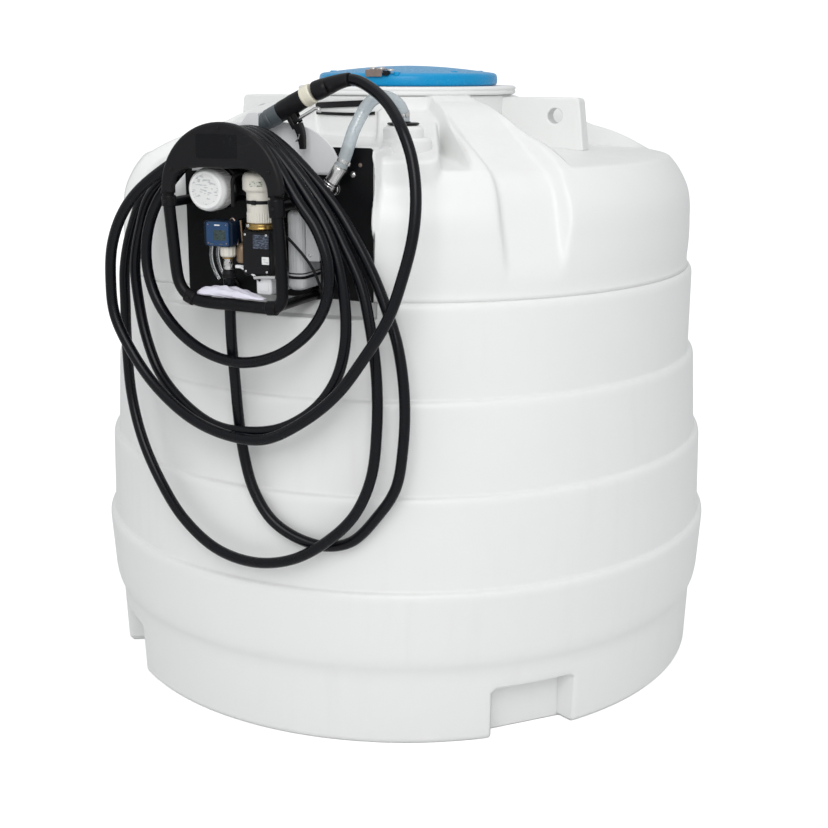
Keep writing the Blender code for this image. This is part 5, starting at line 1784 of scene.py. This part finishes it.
@dataclass
class FlowMeter:
    """The blue digital meter, and the nut, elbow and hose tail under it."""

    body: tuple = ((-0.148, -0.069), (-0.935, -0.885), (1.2935, 1.3555))
    screen: tuple = ((-0.117, -0.085), (1.3095, 1.3345))
    outlet: tuple = (-0.096, -0.905)
    heights: tuple = (1.2947, 1.2673, 1.235, 1.215)
    keys: tuple = (-0.124, -0.098)
    strip: tuple = (-0.115, -0.1)
    arm: tuple = ((-0.13, -0.09), (-0.8847, -0.7416), (1.305, 1.345))
    drip: tuple = ((-0.13, -0.925, 1.294), (-0.132, -0.925, 1.27), (-0.128, -0.925, 1.247),
                   (-0.12, -0.925, 1.228), (-0.111, -0.925, 1.214))
    drip_gap: tuple = (0.0125, 0.01, 0.0)
    rail: tuple = ((-0.09, -0.9, 1.356), (-0.082, -0.902, 1.36), (-0.076, -0.902, 1.352),
                   (-0.0735, -0.902, 1.335), (-0.0715, -0.902, 1.31), (-0.07, -0.902, 1.296))
    brown_rail: tuple = ((-0.062, -0.9, 1.356), (-0.06, -0.9, 1.33), (-0.058, -0.9, 1.305))

    def build_case(self) -> None:
        """Build the dark case, its blue cover with the screen, keys and screws, and its arm."""
        (left, right), (front, back), (low, high) = self.body
        (a, b), (c, d) = self.screen
        shell = box((left, right), (front + 0.006, back), (low, high), 0.011, 0.003, up=1)
        cover = box((left + 0.0095, right - 0.008), (front, front + 0.012),
                    (low + 0.002, high - 0.002), 0.008, 0.0025, up=1)
        lip = box((a - 0.005, b + 0.005), (front - 0.0012, front + 0.003), (c - 0.004, d + 0.004),
                  0.004, 0.001, up=1)
        build(shell, "meter_case", METER_DARK, ("meter",))
        build(join([cover, lip]), "meter_cover", METER_BLUE)
        screen = box((a, b), (front - 0.0018, front), (c, d), 0.0015, 0.0004, up=1)
        build(screen, "meter_screen", SCREEN)
        keys = [box((x - 0.005, x + 0.005), (front - 0.0006, front + 0.002),
                    (low + 0.0055, low + 0.008), 0.0019, 0.0005, up=1) for x in self.keys]
        build(join(keys), "meter_keys", SLATE)
        strip = box(self.strip, (front - 0.0004, front + 0.002), (high - 0.011, high - 0.008),
                    0.001, 0.0003, up=1)
        build(strip, "meter_plain_strip", PALE_PLASTIC)
        corners = [on_front(screw(0.0018), x, front + 0.0003, z) for x in (left + 0.0155, right - 0.014)
                   for z in (low + 0.009, high - 0.0085)]
        build(join(corners), "meter_screws", DULL_STEEL)
        build(box(*self.arm, 0.006, 0.002), "meter_arm", BLACK_PAINT, ("meter_bracket",))

    def build_outlet(self) -> None:
        """Build the union, the gold ring, the spigot and the ferrule below the meter."""
        top, nut, elbow, tail = self.heights
        union = fluted([(0.0165, nut), (0.0192, nut + 0.0035), (0.0196, nut + 0.006),
                        (0.0196, top - 0.006), (0.019, top - 0.003), (0.015, top)],
                       12, 0.0012, nut + 0.004, top - 0.004)
        build(union.moved(*self.outlet), "outlet_union", IVORY_PLASTIC, ("meter_outlet",))
        ring = turned([(0.0142, nut - 0.0045), (0.0142, nut - 0.0005)], 0.0012, 48)
        build(ring.moved(*self.outlet), "outlet_gold_ring", BRASS)
        spigot = join([turned([(0.0115, elbow), (0.0125, elbow + 0.004), (0.0118, elbow + 0.009),
                               (0.0108, nut - 0.004)], 0.0015, 40),
                       hexagon(0.0125, 0.009).moved(z=elbow + 0.012)])
        build(spigot.moved(*self.outlet), "outlet_spigot", STEEL, ("outlet_elbow",))
        ferrule = turned([(0.0155, tail), (0.0168, tail + 0.002), (0.0162, tail + 0.006),
                          (0.0168, tail + 0.01), (0.0162, tail + 0.014), (0.015, elbow - 0.0003)],
                         0.0012, 40)
        build(ferrule.moved(*self.outlet), "hose_ferrule", BLACK_PLASTIC, ("hose_tail",))

    def build(self) -> None:
        """Build the case, the outlet, the clear lines and the rails beside them."""
        self.build_case()
        self.build_outlet()
        drip = smooth_line(self.drip)
        tube("clear_line", drip, 0.0042, CLEAR_TUBE)
        tube("clear_line_beside", drip + self.drip_gap, 0.0038, CLEAR_TUBE)
        tube("sensor_rail", smooth_line(self.rail), 0.0028, DULL_STEEL)
        tube("sensor_rail_brown", smooth_line(self.brown_rail), 0.0024, TAN_BRASS)


@dataclass
class PumpMotor:
    """The pump head and its domed motor, the valve beside it, and the parts under them."""

    centre: tuple = (-0.013, -0.885)
    head: tuple = ((-0.048, 0.028), (-0.925, -0.7416), (1.226, 1.336))
    ring: tuple = (1.3363, 1.3515)
    housing: tuple = (0.0345, 0.082, -0.855, -0.7416, 1.185, 1.38)
    cover: tuple = ((0.0823, 0.12), (-0.842, -0.7416), (1.258, 1.365))
    foot: tuple = ((-0.012, 0.03), (-0.922, -0.7416), (1.182, 1.2257))
    label: tuple = ((-0.016, 0.0265), (1.2935, 1.3265))
    square: tuple = ((0.007, 0.0265), (1.256, 1.2745))
    knob: tuple = (-0.0265, -0.9225, 1.3475)
    motor: tuple = ((0.035, 1.3765), (0.0336, 1.3775), (0.034, 1.39), (0.0348, 1.423),
                    (0.0375, 1.4265), (0.0425, 1.43), (0.0432, 1.433), (0.0432, 1.456), (0.042, 1.464),
                    (0.037, 1.4705), (0.026, 1.4735), (0.01, 1.474))
    band: tuple = ((0.0352, 1.3975), (0.0362, 1.399), (0.0362, 1.4045), (0.0352, 1.406))
    clip: tuple = ((-0.006, 0.006), (-0.0385, -0.035), (1.3965, 1.407))
    sticker: tuple = ((0.0428, 1.44), (0.0437, 1.44), (0.0437, 1.452), (0.0428, 1.452))
    valve: tuple = ((0.012, 1.252), (0.014, 1.256), (0.0145, 1.264), (0.0145, 1.28), (0.013, 1.29),
                    (0.008, 1.2975), (0.0035, 1.3005))
    valve_place: tuple = (-0.065, -0.89)
    lever: tuple = ((-0.076, -0.049), (-0.91, -0.9), (1.2405, 1.2485))
    wires: tuple = (((-0.058, 1.244), (-0.006, 1.224)), ((-0.05, 1.236), (0.002, 1.218)))
    bar: tuple = ((-0.012, -0.93, 1.224), (0.01, -0.93, 1.2262), (0.046, -0.93, 1.2282))
    slot: tuple = ((-0.004, 0.022), (-0.9232, -0.918), (1.19, 1.214))
    bands: tuple = ((1.2255, 1.2285, 0.0012), (1.214, 1.221, 0.0016))
    cover_screws: tuple = (0.0945, (1.3506, 1.2718))
    cable: tuple = ((0.0283, -0.872, 1.322), (0.04, -0.872, 1.322), (0.082, -0.872, 1.286),
                    (0.113, -0.87, 1.247), (0.131, -0.868, 1.209), (0.136, -0.855, 1.18),
                    (0.122, -0.83, 1.17), (0.105, -0.8, 1.19), (0.1, -0.79, 1.235),
                    (0.1, -0.79, 1.2577))

    def housing_plan(self) -> Array:
        """Give the housing's plan, round in front; the shallow upright flutes in its sides are added
        when the shell is built.

        Returns:
            The (x, y) ring at even steps.
        """
        left, right, front, back = self.housing[:4]
        plan = rounded([(left, back), (left, front), (right, front), (right, back)],
                       (0.001, 0.0235, 0.0235, 0.001), 14)
        return even_ring(plan, 0.0012)

    def build_head(self) -> None:
        """Build the pump head with its cover, plates and screws, and the brass ring above it."""
        (left, right), (front, back), (low, high) = self.head
        block = box((left, right), (front + 0.008, back), (low, high), 0.006, 0.003, up=1)
        cover = box((left + 0.003, right), (front, front + 0.012), (low + 0.004, high - 0.003),
                    0.008, 0.003, up=1)
        ribs = [box((left + 0.001, right - 0.001), (front + 0.014 + step, front + 0.018 + step),
                    (low + 0.002, high + 0.0006), 0.002, 0.0015, up=1)
                for step in (k * 0.016 for k in range(6))]
        build(join([block, cover, *ribs]), "pump_head_casting", BLACK_PLASTIC, ("pump_head",))
        across, height = self.label
        label = box(across, (front - 0.0006, front + 0.002), height, 0.002, 0.0003, up=1)
        build(label, "pump_plain_label", LABEL)
        across, height = self.square
        square = box(across, (front - 0.0008, front + 0.002), height, 0.002, 0.0003, up=1)
        build(square, "pump_pale_square", FILTER_LABEL)
        corners = [on_front(screw(0.0032), x, front + 0.0002, z) for x in (left + 0.011, right - 0.008)
                   for z in (low + 0.012, high - 0.01)]
        build(join(corners), "pump_screws", STEEL)
        low, high = self.ring
        seal = turned([(0.0375, low), (0.0398, low + 0.003), (0.0385, low + 0.0075),
                       (0.0398, low + 0.012), (0.0375, high)], 0.0012, 64)
        build(seal.moved(*self.centre), "brass_ring", BRASS, ("seal_ring",))
        knob = turned([(0.0034, 0.0), (0.0034, 0.003), (0.0046, 0.0045), (0.004, 0.0072)],
                      0.0012, 28)
        build(on_front(knob, *self.knob), "ring_knob", STEEL)

    def build_motor(self) -> None:
        """Build the ivory motor: fluted at its foot, with a black band and a domed cap."""
        foot = self.ring[1] + 0.0003
        shell = fluted([(0.0335, foot), (0.035, foot + 0.002), *self.motor], 36, 0.0014,
                       foot + 0.001, 1.377)
        build(shell.moved(*self.centre), "motor_shell", IVORY_PLASTIC, ("pump_motor",))
        band = join([turned(self.band, 0.0008, 64), box(*self.clip, 0.0015, 0.0008, up=1)])
        build(band.moved(*self.centre), "motor_band", BLACK_PLASTIC)
        turn = np.radians(np.linspace(-8, 34, 22))
        r, z = np.array(self.sticker).T[:, :, None, None]
        rows = np.concatenate([r * np.sin(turn)[None, :, None], -r * np.cos(turn)[None, :, None],
                               np.broadcast_to(z, (4, len(turn), 1))], axis=2)
        patch = grid(rows.transpose(1, 0, 2), caps=True)
        build(patch.moved(*self.centre), "motor_faint_label", MOTOR_LABEL)

    def build_rest(self) -> None:
        """Build the valve, the bars, the foot, the rear housing, its bands and its cover."""
        valve = join([turned(self.valve, 0.003, 48), hexagon(0.015, 0.007).moved(z=1.259)])
        build(valve.moved(*self.valve_place), "valve_cap", TAN_BRASS, ("valve_body",))
        build(box(*self.lever, 0.003, 0.002), "valve_lever", PALE_PLASTIC)
        for k, ((x, z), (far, down)) in enumerate(self.wires):
            wire = smooth_line([(x, -0.912, z), ((x + far) / 2, -0.918, z - 0.009),
                                (far, -0.928, down)])
            tube("wire_%d" % k, wire, 0.003, (PALE_PLASTIC, BLACK_PLASTIC)[k])
        tube("steel_bar", smooth_line(self.bar), 0.0044, STEEL)
        foot = join([box(*self.foot, 0.008, 0.005, up=1), box(*self.slot, 0.003, 0.001, up=1)])
        build(foot, "pump_foot_block", PALE_PLASTIC, ("pump_foot",))
        plan = self.housing_plan()
        low, high = self.housing[4:]
        flutes = 1 - 0.012 * (np.sin(np.arange(len(plan)) * 1.05) > 0.6)[:, None]
        middle = plan.mean(axis=0)
        shell = extruded(middle + (plan - middle) * flutes, high - low, 0.014, 8).moved(z=low)
        build(shell, "rear_housing", GREY_CASTING, ("motor_housing",))
        bands = join([band_round(plan, *band) for band in self.bands])
        build(bands, "housing_bands", BLACK_PLASTIC)
        (left, right), (front, back), (low, high) = self.cover
        lid = box((left + 0.001, right), (front, front + 0.006), (low, high), 0.004, 0.0016, up=1)
        case = box((left, right - 0.003), (front + 0.005, back), (low + 0.003, high - 0.003),
                   0.004, 0.002, up=1)
        build(join([case, lid]), "terminal_cover", GREY_CASTING, ("terminal_box",))
        x, heights = self.cover_screws
        heads = [on_front(screw(0.004), x, front, z) for z in heights]
        build(join(heads), "terminal_screws", STEEL)
        line = smooth_line(self.cable, 16)
        tube("motor_cable", line, 0.0035, BLACK_PLASTIC, ("power_cable",))
        gland = turned([(0.0075, -0.002), (0.0075, 0.004), (0.0055, 0.009)], 0.0008, 28)
        build(join([gland.placed(aim(self.cable[0], (1, 0, 0))),
                    gland.placed(aim(self.cable[-1], (0, 0, -1)))]), "cable_glands", BLACK_PLASTIC)

    def build(self) -> None:
        """Build the head, the motor and the rest."""
        self.build_head()
        self.build_motor()
        self.build_rest()


def even_ring(ring: Array, step: float) -> Array:
    """Read points round a closed outline at an even spacing.

    Args:
        ring: the (x, y) points of the outline.
        step: the spacing, in metres.

    Returns:
        The points at even steps, without the first again.
    """
    line = np.vstack([ring, ring[:1]])
    travel = np.append(0, np.cumsum(np.linalg.norm(np.diff(line, axis=0), axis=1)))
    marks = np.arange(int(travel[-1] / step)) * step
    return np.stack([np.interp(marks, travel, line[:, k]) for k in range(2)], axis=1)


@dataclass
class FoldedBag:
    """The pale film bag that lies folded on the bottom tube of the frame."""

    stations: tuple = ((-0.16, 1.1815, 0.004, 0.006), (-0.148, 1.187, 0.0105, 0.015),
                       (-0.12, 1.19, 0.015, 0.019), (-0.08, 1.1905, 0.016, 0.0205),
                       (-0.04, 1.1875, 0.013, 0.0195), (-0.01, 1.182, 0.008, 0.016),
                       (0.01, 1.1785, 0.005, 0.012), (0.024, 1.1765, 0.0025, 0.006))
    middle: float = -0.9455
    rows: int = 150
    columns: int = 120

    def build(self) -> None:
        """Build the bag: a flattened tube along X whose skin is bent by waves into soft folds."""
        knots = np.array(self.stations)
        x = np.linspace(knots[0, 0], knots[-1, 0], self.rows)[:, None]
        height, half, deep = (np.interp(x[:, 0], knots[:, 0], knots[:, k])[:, None] for k in (1, 2, 3))
        height, half = height - 0.18 * half, half * 0.82
        turn = np.linspace(0, 2 * math.pi, self.columns, endpoint=False)[None, :]
        lean = x * 40
        wave = (0.0011 * np.sin(3 * turn + lean) + 0.0008 * np.sin(7 * turn - x * 95)
                + 0.0007 * np.sin(x * 210 + 2 * np.sin(turn * 2)))
        grow = np.minimum(1.0, half / 0.01)
        flat = np.sign(np.sin(turn)) * np.abs(np.sin(turn)) ** 0.8
        top = np.maximum(flat, 0)
        z = height + flat * half + wave * grow * (0.4 + top)
        y = self.middle + np.cos(turn) * deep + 0.6 * wave * grow
        z = np.maximum(z, 1.1755 - 0.001 * grow)
        points = np.stack([np.broadcast_to(x, z.shape), y, z], axis=-1)
        bag = build(grid(points, caps=True), "film_bag", BAG_FILM, ("folded_bag",))


@dataclass
class Nozzle:
    """The dispensing nozzle in its boot: sleeve, body, guard, trigger, collar and swivel."""

    tip: tuple = (-0.062, -0.785, 1.579)
    lean: float = 28.0
    sleeve: float = 0.061
    body: float = 0.073
    collar: float = 0.028
    swivel: float = 0.03
    swivel_lean: float = 20.0
    pin: tuple = (0.0945, 0.038)
    boot: tuple = ((-0.1115, 1.5455), (-0.1115, 1.572), (-0.085, 1.608), (-0.0575, 1.608),
                   (-0.0565, 1.5455))
    boot_corners: tuple = (0.002, 0.012, 0.012, 0.005, 0.002)
    ribs: tuple = ((0.019, 0.0), (0.0214, 0.01), (0.0219, 0.03), (0.0219, 0.041), (0.0238, 0.045),
                   (0.0238, 0.051), (0.0229, 0.0525), (0.0229, 0.0545), (0.0238, 0.056))
    shell: tuple = ((0.023, 0.0), (0.024, 0.006), (0.0243, 0.02), (0.0239, 0.03), (0.0243, 0.04),
                    (0.0241, 0.052), (0.0234, 0.066))
    hump: tuple = ((-0.011, 0.011), (0.012, 0.0262), (0.016, 0.06))
    root: tuple = ((0.0785, 0.018), (0.079, 0.034), (0.08, 0.052))
    blade: tuple = ((0.0893, 0.046), (0.0888, 0.056), (0.0875, 0.066), (0.085, 0.076), (0.0815, 0.085),
                    (0.0775, 0.095), (0.073, 0.104))
    axle: tuple = ((0.004, -0.013), (0.004, -0.0112), (0.0025, -0.011), (0.0025, 0.011),
                   (0.004, 0.0112), (0.004, 0.013))
    lever: tuple = ((-0.008, 0.0), (0.01, -0.0012), (0.028, -0.0015), (0.043, -0.0015),
                    (0.054, -0.002), (0.0605, 0.0005), (0.0625, 0.005), (0.059, 0.0095))
    hook: tuple = ((0.087, 0.07), (0.08, 0.078), (0.07, 0.082))

    def at(self, along: float, below: float = 0.0) -> Vector:
        """Give the point at a distance along the nozzle's axis and below it.

        Args:
            along: the distance along the axis.
            below: the distance below it.

        Returns:
            The point.
        """
        turn = math.radians(self.lean)
        return (Vector(self.tip) + Vector((math.cos(turn), 0, math.sin(turn))) * along
                + Vector((math.sin(turn), 0, -math.cos(turn))) * below)

    def rod(self, start: float, form: Form) -> Form:
        """Lay a form that stands on +Z along the nozzle's axis."""
        return form.placed(aim(self.at(start), self.at(1.0) - self.at(0.0)))

    def strip(self, path: Sequence, thick: float, half: float, edge: float = 0.0015,
              thin: float = 1.0) -> Form:
        """Carry a flat rounded strip along points of (distance along, distance below), thinned evenly.

        Args:
            path: the points.
            thick: the strip's thickness.
            half: half its width.
            edge: radius of its edges.
            thin: the share of its size at the end.

        Returns:
            The closed form.
        """
        line = smooth_line([tuple(self.at(*point)) for point in path], 10)
        section = rounded([(-half, -thick / 2), (half, -thick / 2), (half, thick / 2),
                           (-half, thick / 2)], edge, 4)
        return swept(section, line, np.linspace(1.0, thin, len(line)))

    def swivel_end(self) -> tuple[Vector, Vector, Vector]:
        """Give the swivel's start, its direction and the point where the hose meets it.

        Returns:
            The start, the direction and the end.
        """
        turn = math.radians(self.swivel_lean)
        direction = Vector((math.cos(turn), 0, math.sin(turn)))
        start = self.at(self.sleeve + self.body + self.collar + 0.0055)
        return start, direction, start + direction * (self.swivel + 0.0003)

    def build_sleeve(self) -> Piece:
        """Build the boot that the spout stands in, and the sleeve round the spout.

        Returns:
            The sleeve.
        """
        boot = extruded(rounded(self.boot, self.boot_corners, 6), 0.06, 0.0018)
        build(boot.placed(facing(-0.7485)), "nozzle_boot", PALE_PLASTIC, ("nozzle_holder",))
        sleeve = turned([*self.ribs, (0.0233, self.sleeve + 0.019)], 0.0008, 56)
        return build(self.rod(-0.0197, sleeve), "spout_sleeve", SLATE, ("nozzle_sleeve",))

    def build_grip(self) -> Piece:
        """Build the nozzle's body with its hump, its guard, the cheeks and the trigger's axle.

        Returns:
            The piece.
        """
        shell = turned([*self.shell, (0.0232, self.body)], 0.003, 56)
        hump = box(*self.hump, 0.005, 0.004)
        along, below = self.pin
        cheek = self.strip(((along, 0.016), (along, below + 0.006)), 0.012, 0.0015, 0.0007)
        cheeks = [cheek.moved(y=side * 0.0095) for side in (-1, 1)]
        root = self.strip(self.root, 0.013, 0.01, 0.004)
        blade = self.strip(self.blade, 0.022, 0.011, 0.004, 0.62)
        axle = turned(self.axle, 0.0003, 24).placed(aim(self.at(*self.pin), (0, 1, 0)))
        grip = join([self.rod(self.sleeve, join([shell, hump])), root, blade, *cheeks, axle])
        return build(grip, "nozzle_grip", BLACK_PLASTIC, ("nozzle_body",))

    def build_end(self) -> list[Piece]:
        """Build the cream collar and the swivel joint that the hose runs into.

        Returns:
            The two pieces.
        """
        rings = [(0.0235, 0.0), (0.0252, 0.003), (0.0252, 0.008), (0.0246, 0.0095),
                 (0.0252, 0.011), (0.0252, self.collar - 0.004), (0.0235, self.collar)]
        collar = self.rod(self.sleeve + self.body + 0.0003, turned(rings, 0.001, 56))
        pieces = [build(collar, "cream_collar", CREAM_PLASTIC, ("nozzle_collar",))]
        start, direction, _ = self.swivel_end()
        joint = turned([(0.0225, 0.0), (0.0236, 0.004), (0.0238, 0.011), (0.023, 0.024),
                        (0.0225, self.swivel), (0.0195, self.swivel + 0.008)], 0.002, 56)
        joint = joint.placed(aim(start, direction))
        return pieces + [build(joint, "swivel_joint", BLACK_PLASTIC, ("nozzle_swivel",))]

    def build(self) -> tuple[Piece, ...]:
        """Build every piece: the boot, sleeve, grip, collar, joint, trigger and hook.

        Returns:
            The pieces, which are passed on to the hose.
        """
        pieces = [self.build_sleeve(), self.build_grip(), *self.build_end()]
        along, below = self.pin
        lever = self.strip([(along + a, below + b) for a, b in self.lever], 0.008, 0.006, 0.0028)
        pieces.append(build(lever, "squeeze_lever", STEEL, ("nozzle_trigger",), Body.TRIGGER))
        hook = self.strip(self.hook, 0.003, 0.0125, 0.0012)
        pieces.append(build(hook, "latch_hook", STEEL))
        return tuple(pieces)


@dataclass
class SuctionLine:
    """The clear suction hose from the boss to the pump, with its flange, clamps and elbow."""

    route: tuple = ((0.128, -0.79, 1.443), (0.14, -0.787, 1.462), (0.157, -0.781, 1.493),
                    (0.1695, -0.775, 1.532), (0.179, -0.768, 1.566), (0.1905, -0.757, 1.596),
                    (0.2, -0.742, 1.62), (0.21, -0.722, 1.638), (0.221, -0.7, 1.6455),
                    (0.2325, -0.676, 1.6415), (0.242, -0.6545, 1.631), (0.249, -0.6385, 1.6155),
                    (0.2514, -0.6318, 1.599), (0.2514, -0.6318, 1.5851))
    radius: float = 0.0158
    plate: float = -0.7416
    disc: tuple = ((0.037, 1.5765), (0.0398, 1.5782), (0.0398, 1.5805), (0.037, 1.5822))
    stub: tuple = ((0.0185, 1.58), (0.018, 1.585))
    ferrule: tuple = ((0.0178, 0.0003), (0.0186, 0.003), (0.0178, 0.006), (0.0186, 0.009),
                      (0.0178, 0.012), (0.0186, 0.016), (0.018, 0.024), (0.015, 0.03), (0.0145, 0.034))
    buckle: tuple = ((0.012, 0.0205), (-0.0045, 0.0045), (-0.0048, 0.0048))
    stud: tuple = (0.165, 1.461)

    def build_cuff(self, line: Array) -> None:
        """Build the ridged cuff round the hose's lower end, and the black disc on the boss.

        Args:
            line: the hose's centre line.
        """
        travel = np.append(0, np.cumsum(np.linalg.norm(np.diff(line, axis=0), axis=1)))
        cuff = line[travel < 0.05]
        rings = 1 + 0.03 * np.sin(travel[travel < 0.05] * 900)
        turn = np.linspace(0, 2 * math.pi, 40, endpoint=False)
        section = 0.018 * np.stack([np.cos(turn), np.sin(turn)], axis=1)
        build(swept(section, cuff, rings), "hose_cuff", STEEL)
        disc = join([turned(self.disc, 0.001, 72), turned(self.stub, 0.001, 40)])
        build(disc.moved(*self.route[-1][:2]), "boss_disc", BLACK_PLASTIC, ("boss_flange",))

    def build_elbow(self, line: Array) -> None:
        """Build the steel elbow that carries the hose's lower end from the plate.

        Args:
            line: the hose's centre line.
        """
        start, after = Vector(self.route[0]), Vector(line[2])
        away = (start - after).normalized()
        sleeve = turned(self.ferrule, 0.001, 48)
        bend = start + away * 0.022
        leg = self.plate - bend.y
        arm = turned([(0.013, 0.0), (0.013, leg - 0.016), (0.015, leg - 0.015),
                      (0.015, leg - 0.006), (0.0158, leg - 0.0055), (0.016, leg)], 0.0008, 48)
        build(join([sleeve.placed(aim(start, away)), arm.placed(aim(bend, (0, 1, 0)))]),
              "suction_elbow", STEEL, ("suction_fitting",))

    def build_clamps(self, line: Array) -> None:
        """Build the two clamps round the hose and the elbow's bolt.

        Args:
            line: the hose's centre line.
        """
        inner, outer = self.radius, self.radius + 0.0013
        belt = turned([(inner, -0.0045), (outer, -0.004), (outer, 0.004), (inner, 0.0045)],
                      0.0004, 48)
        clamp = join([belt, box(*self.buckle, 0.001, 0.0008)])
        clamps = [clamp.placed(aim(Vector(line[k]), Vector(line[k]) - Vector(line[k - 1])))
                  for k in (10, -4)]
        build(join(clamps), "hose_clamps", STEEL)
        x, z = self.stud
        build(on_front(bolt(0.005), x, self.plate - 0.002, z), "elbow_bolt", STEEL)

    def build(self) -> None:
        """Build the hose, the fittings at both ends and their clamps."""
        line = even_steps(smooth_line(self.route, 20), 0.006)
        tube("clear_suction_hose", line, self.radius, CLEAR_HOSE, ("suction_hose",), 8)
        self.build_cuff(line)
        self.build_elbow(line)
        self.build_clamps(line)


@dataclass
class NeckStrap:
    """The black strap and the thin cord that pass round the neck behind the nozzle."""

    radius: float = 0.3095
    strap: tuple = ((-33.0, 1.6085), (-14.0, 1.614), (4.0, 1.619))
    cord: tuple = ((-40.0, 1.589), (-21.0, 1.588), (-3.0, 1.5885), (6.0, 1.592))

    def belt(self, knots: Sequence, half: float, thick: float) -> Form:
        """Lay a flat band on the round neck: knots give azimuth in degrees and height.

        Args:
            knots: (azimuth, height) points.
            half: half its width.
            thick: its thickness.

        Returns:
            The closed form.
        """
        line = smooth_line([(a, 0.0, z) for a, z in knots], 20)
        turn = np.radians(line[:, 0])[:, None]
        section = rounded([(0.0, -half), (thick, -half), (thick, half), (0.0, half)], thick * 0.3, 3)
        r = self.radius + section[None, :, 0]
        z = line[:, 2:3] + section[None, :, 1]
        points = np.stack([r * np.sin(turn), -r * np.cos(turn), z], axis=-1)
        return grid(points, caps=True)

    def build(self) -> None:
        """Build the strap and the cord."""
        build(self.belt(self.strap, 0.0085, 0.004), "neck_strap", BLACK_PLASTIC)
        build(self.belt(self.cord, 0.0042, 0.004), "neck_cord", BLACK_PLASTIC)


# Stage

@dataclass
class Studio:
    """The pale sweep, the soft lights and the camera at the photograph's angle."""

    place: tuple = (1.5516700744, -3.7460629381, 1.7183170501)
    angles: tuple = (75.42102642, -0.12680638, 22.21956416)
    lens: float = 58.260879
    sweep_back: float = 5.0
    sweep_curve: float = 4.0
    sweep_high: float = 9.0
    sweep_wide: float = 16.0
    glow: float = 0.55

    def camera(self) -> None:
        """Put the camera where the photograph was taken from."""
        data = bpy.data.cameras.new("view")
        data.lens, data.sensor_width = self.lens, 36.0
        made = bpy.data.objects.new("view", data)
        made.location = self.place
        made.rotation_euler = [math.radians(a) for a in self.angles]
        bpy.context.scene.collection.objects.link(made)
        bpy.context.scene.camera = made

    def sweep(self) -> None:
        """Make the floor that curves up into a backdrop, square to the camera's azimuth."""
        back, curve = self.sweep_back, self.sweep_curve
        line = np.concatenate([[(-9.0, 0.0)], arc((back, curve), curve, -90, 0, 24),
                               [(back + curve, self.sweep_high)]])
        sides = np.array((-self.sweep_wide, self.sweep_wide))
        turn = math.radians(self.angles[2])
        across = np.array((math.cos(turn), math.sin(turn), 0.0))
        away = np.array((-math.sin(turn), math.cos(turn), 0.0))
        points = (sides[None, :, None] * across + line[:, None, :1] * away
                  + line[:, None, 1:] * np.array((0.0, 0.0, 1.0)))
        rows = np.arange(len(line) - 1)[:, None] * 2
        mesh = bpy.data.meshes.new("sweep")
        mesh.from_pydata(points.reshape(-1, 3).tolist(), [], (rows + (0, 1, 3, 2)).tolist())
        mesh.shade_smooth()
        made = bpy.data.objects.new("sweep", mesh)
        paint = bpy.data.materials.new("sweep")
        paint.use_nodes = True
        shader = paint.node_tree.nodes["Principled BSDF"]
        shader.inputs["Base Color"].default_value = (0.8, 0.8, 0.8, 1.0)
        shader.inputs["Roughness"].default_value = 0.9
        shader.inputs["Emission Color"].default_value = (1.0, 1.0, 1.0, 1.0)
        seen = paint.node_tree.nodes.new("ShaderNodeLightPath").outputs["Is Camera Ray"]
        shown = paint.node_tree.nodes.new("ShaderNodeMath")
        shown.operation = "MULTIPLY"
        shown.inputs[1].default_value = self.glow
        paint.node_tree.links.new(seen, shown.inputs[0])
        paint.node_tree.links.new(shown.outputs[0], shader.inputs["Emission Strength"])
        mesh.materials.append(paint)
        bpy.context.scene.collection.objects.link(made)

    def lamp(self, name: str, place: Sequence, size: float, power: float, target: Sequence) -> None:
        """Hang a square soft light that faces a point.

        Args:
            name: the lamp's name.
            place: where it hangs.
            size: the length of a side.
            power: in watts.
            target: the point that it faces.
        """
        data = bpy.data.lights.new(name, "AREA")
        data.size, data.energy = size, power
        made = bpy.data.objects.new(name, data)
        made.location = place
        made.rotation_euler = (Vector(target) - Vector(place)).to_track_quat("-Z", "Y").to_euler()
        bpy.context.scene.collection.objects.link(made)

    def build(self) -> None:
        """Set up the camera, the sweep, the lights and the world."""
        self.camera()
        self.sweep()
        middle = (0.0, 0.0, 0.9)
        self.lamp("key", (1.5, -4.4, 3.6), 2.6, 92.0, middle)
        self.lamp("top", (0.2, -0.4, 5.2), 3.0, 20.0, middle)
        bpy.context.scene.view_settings.view_transform = "Standard"
        world = bpy.context.scene.world or bpy.data.worlds.new("world")
        bpy.context.scene.world = world
        world.use_nodes = True
        light = world.node_tree.nodes["Background"].inputs
        light["Color"].default_value, light["Strength"].default_value = (0.97, 0.985, 1.0, 1.0), 0.74


def main() -> None:
    """Build every piece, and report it."""
    logging.basicConfig(level=logging.INFO, format="%(message)s")
    Studio().build()
    nozzle = Nozzle()
    carried = nozzle.build()
    _, heading, end = nozzle.swivel_end()
    DeliveryHose().build(np.array(end), np.array(heading), carried)
    for part in (TankBody(), Lugs(), Manhole(), PumpFrame(), HoseSaddle(), FluidFilter(), FlowMeter(),
                 PumpMotor(), FoldedBag(), SuctionLine(), NeckStrap()):
        part.build()
        LOG.info("%s is built", type(part).__name__)


if __name__ == "__main__":
    main()
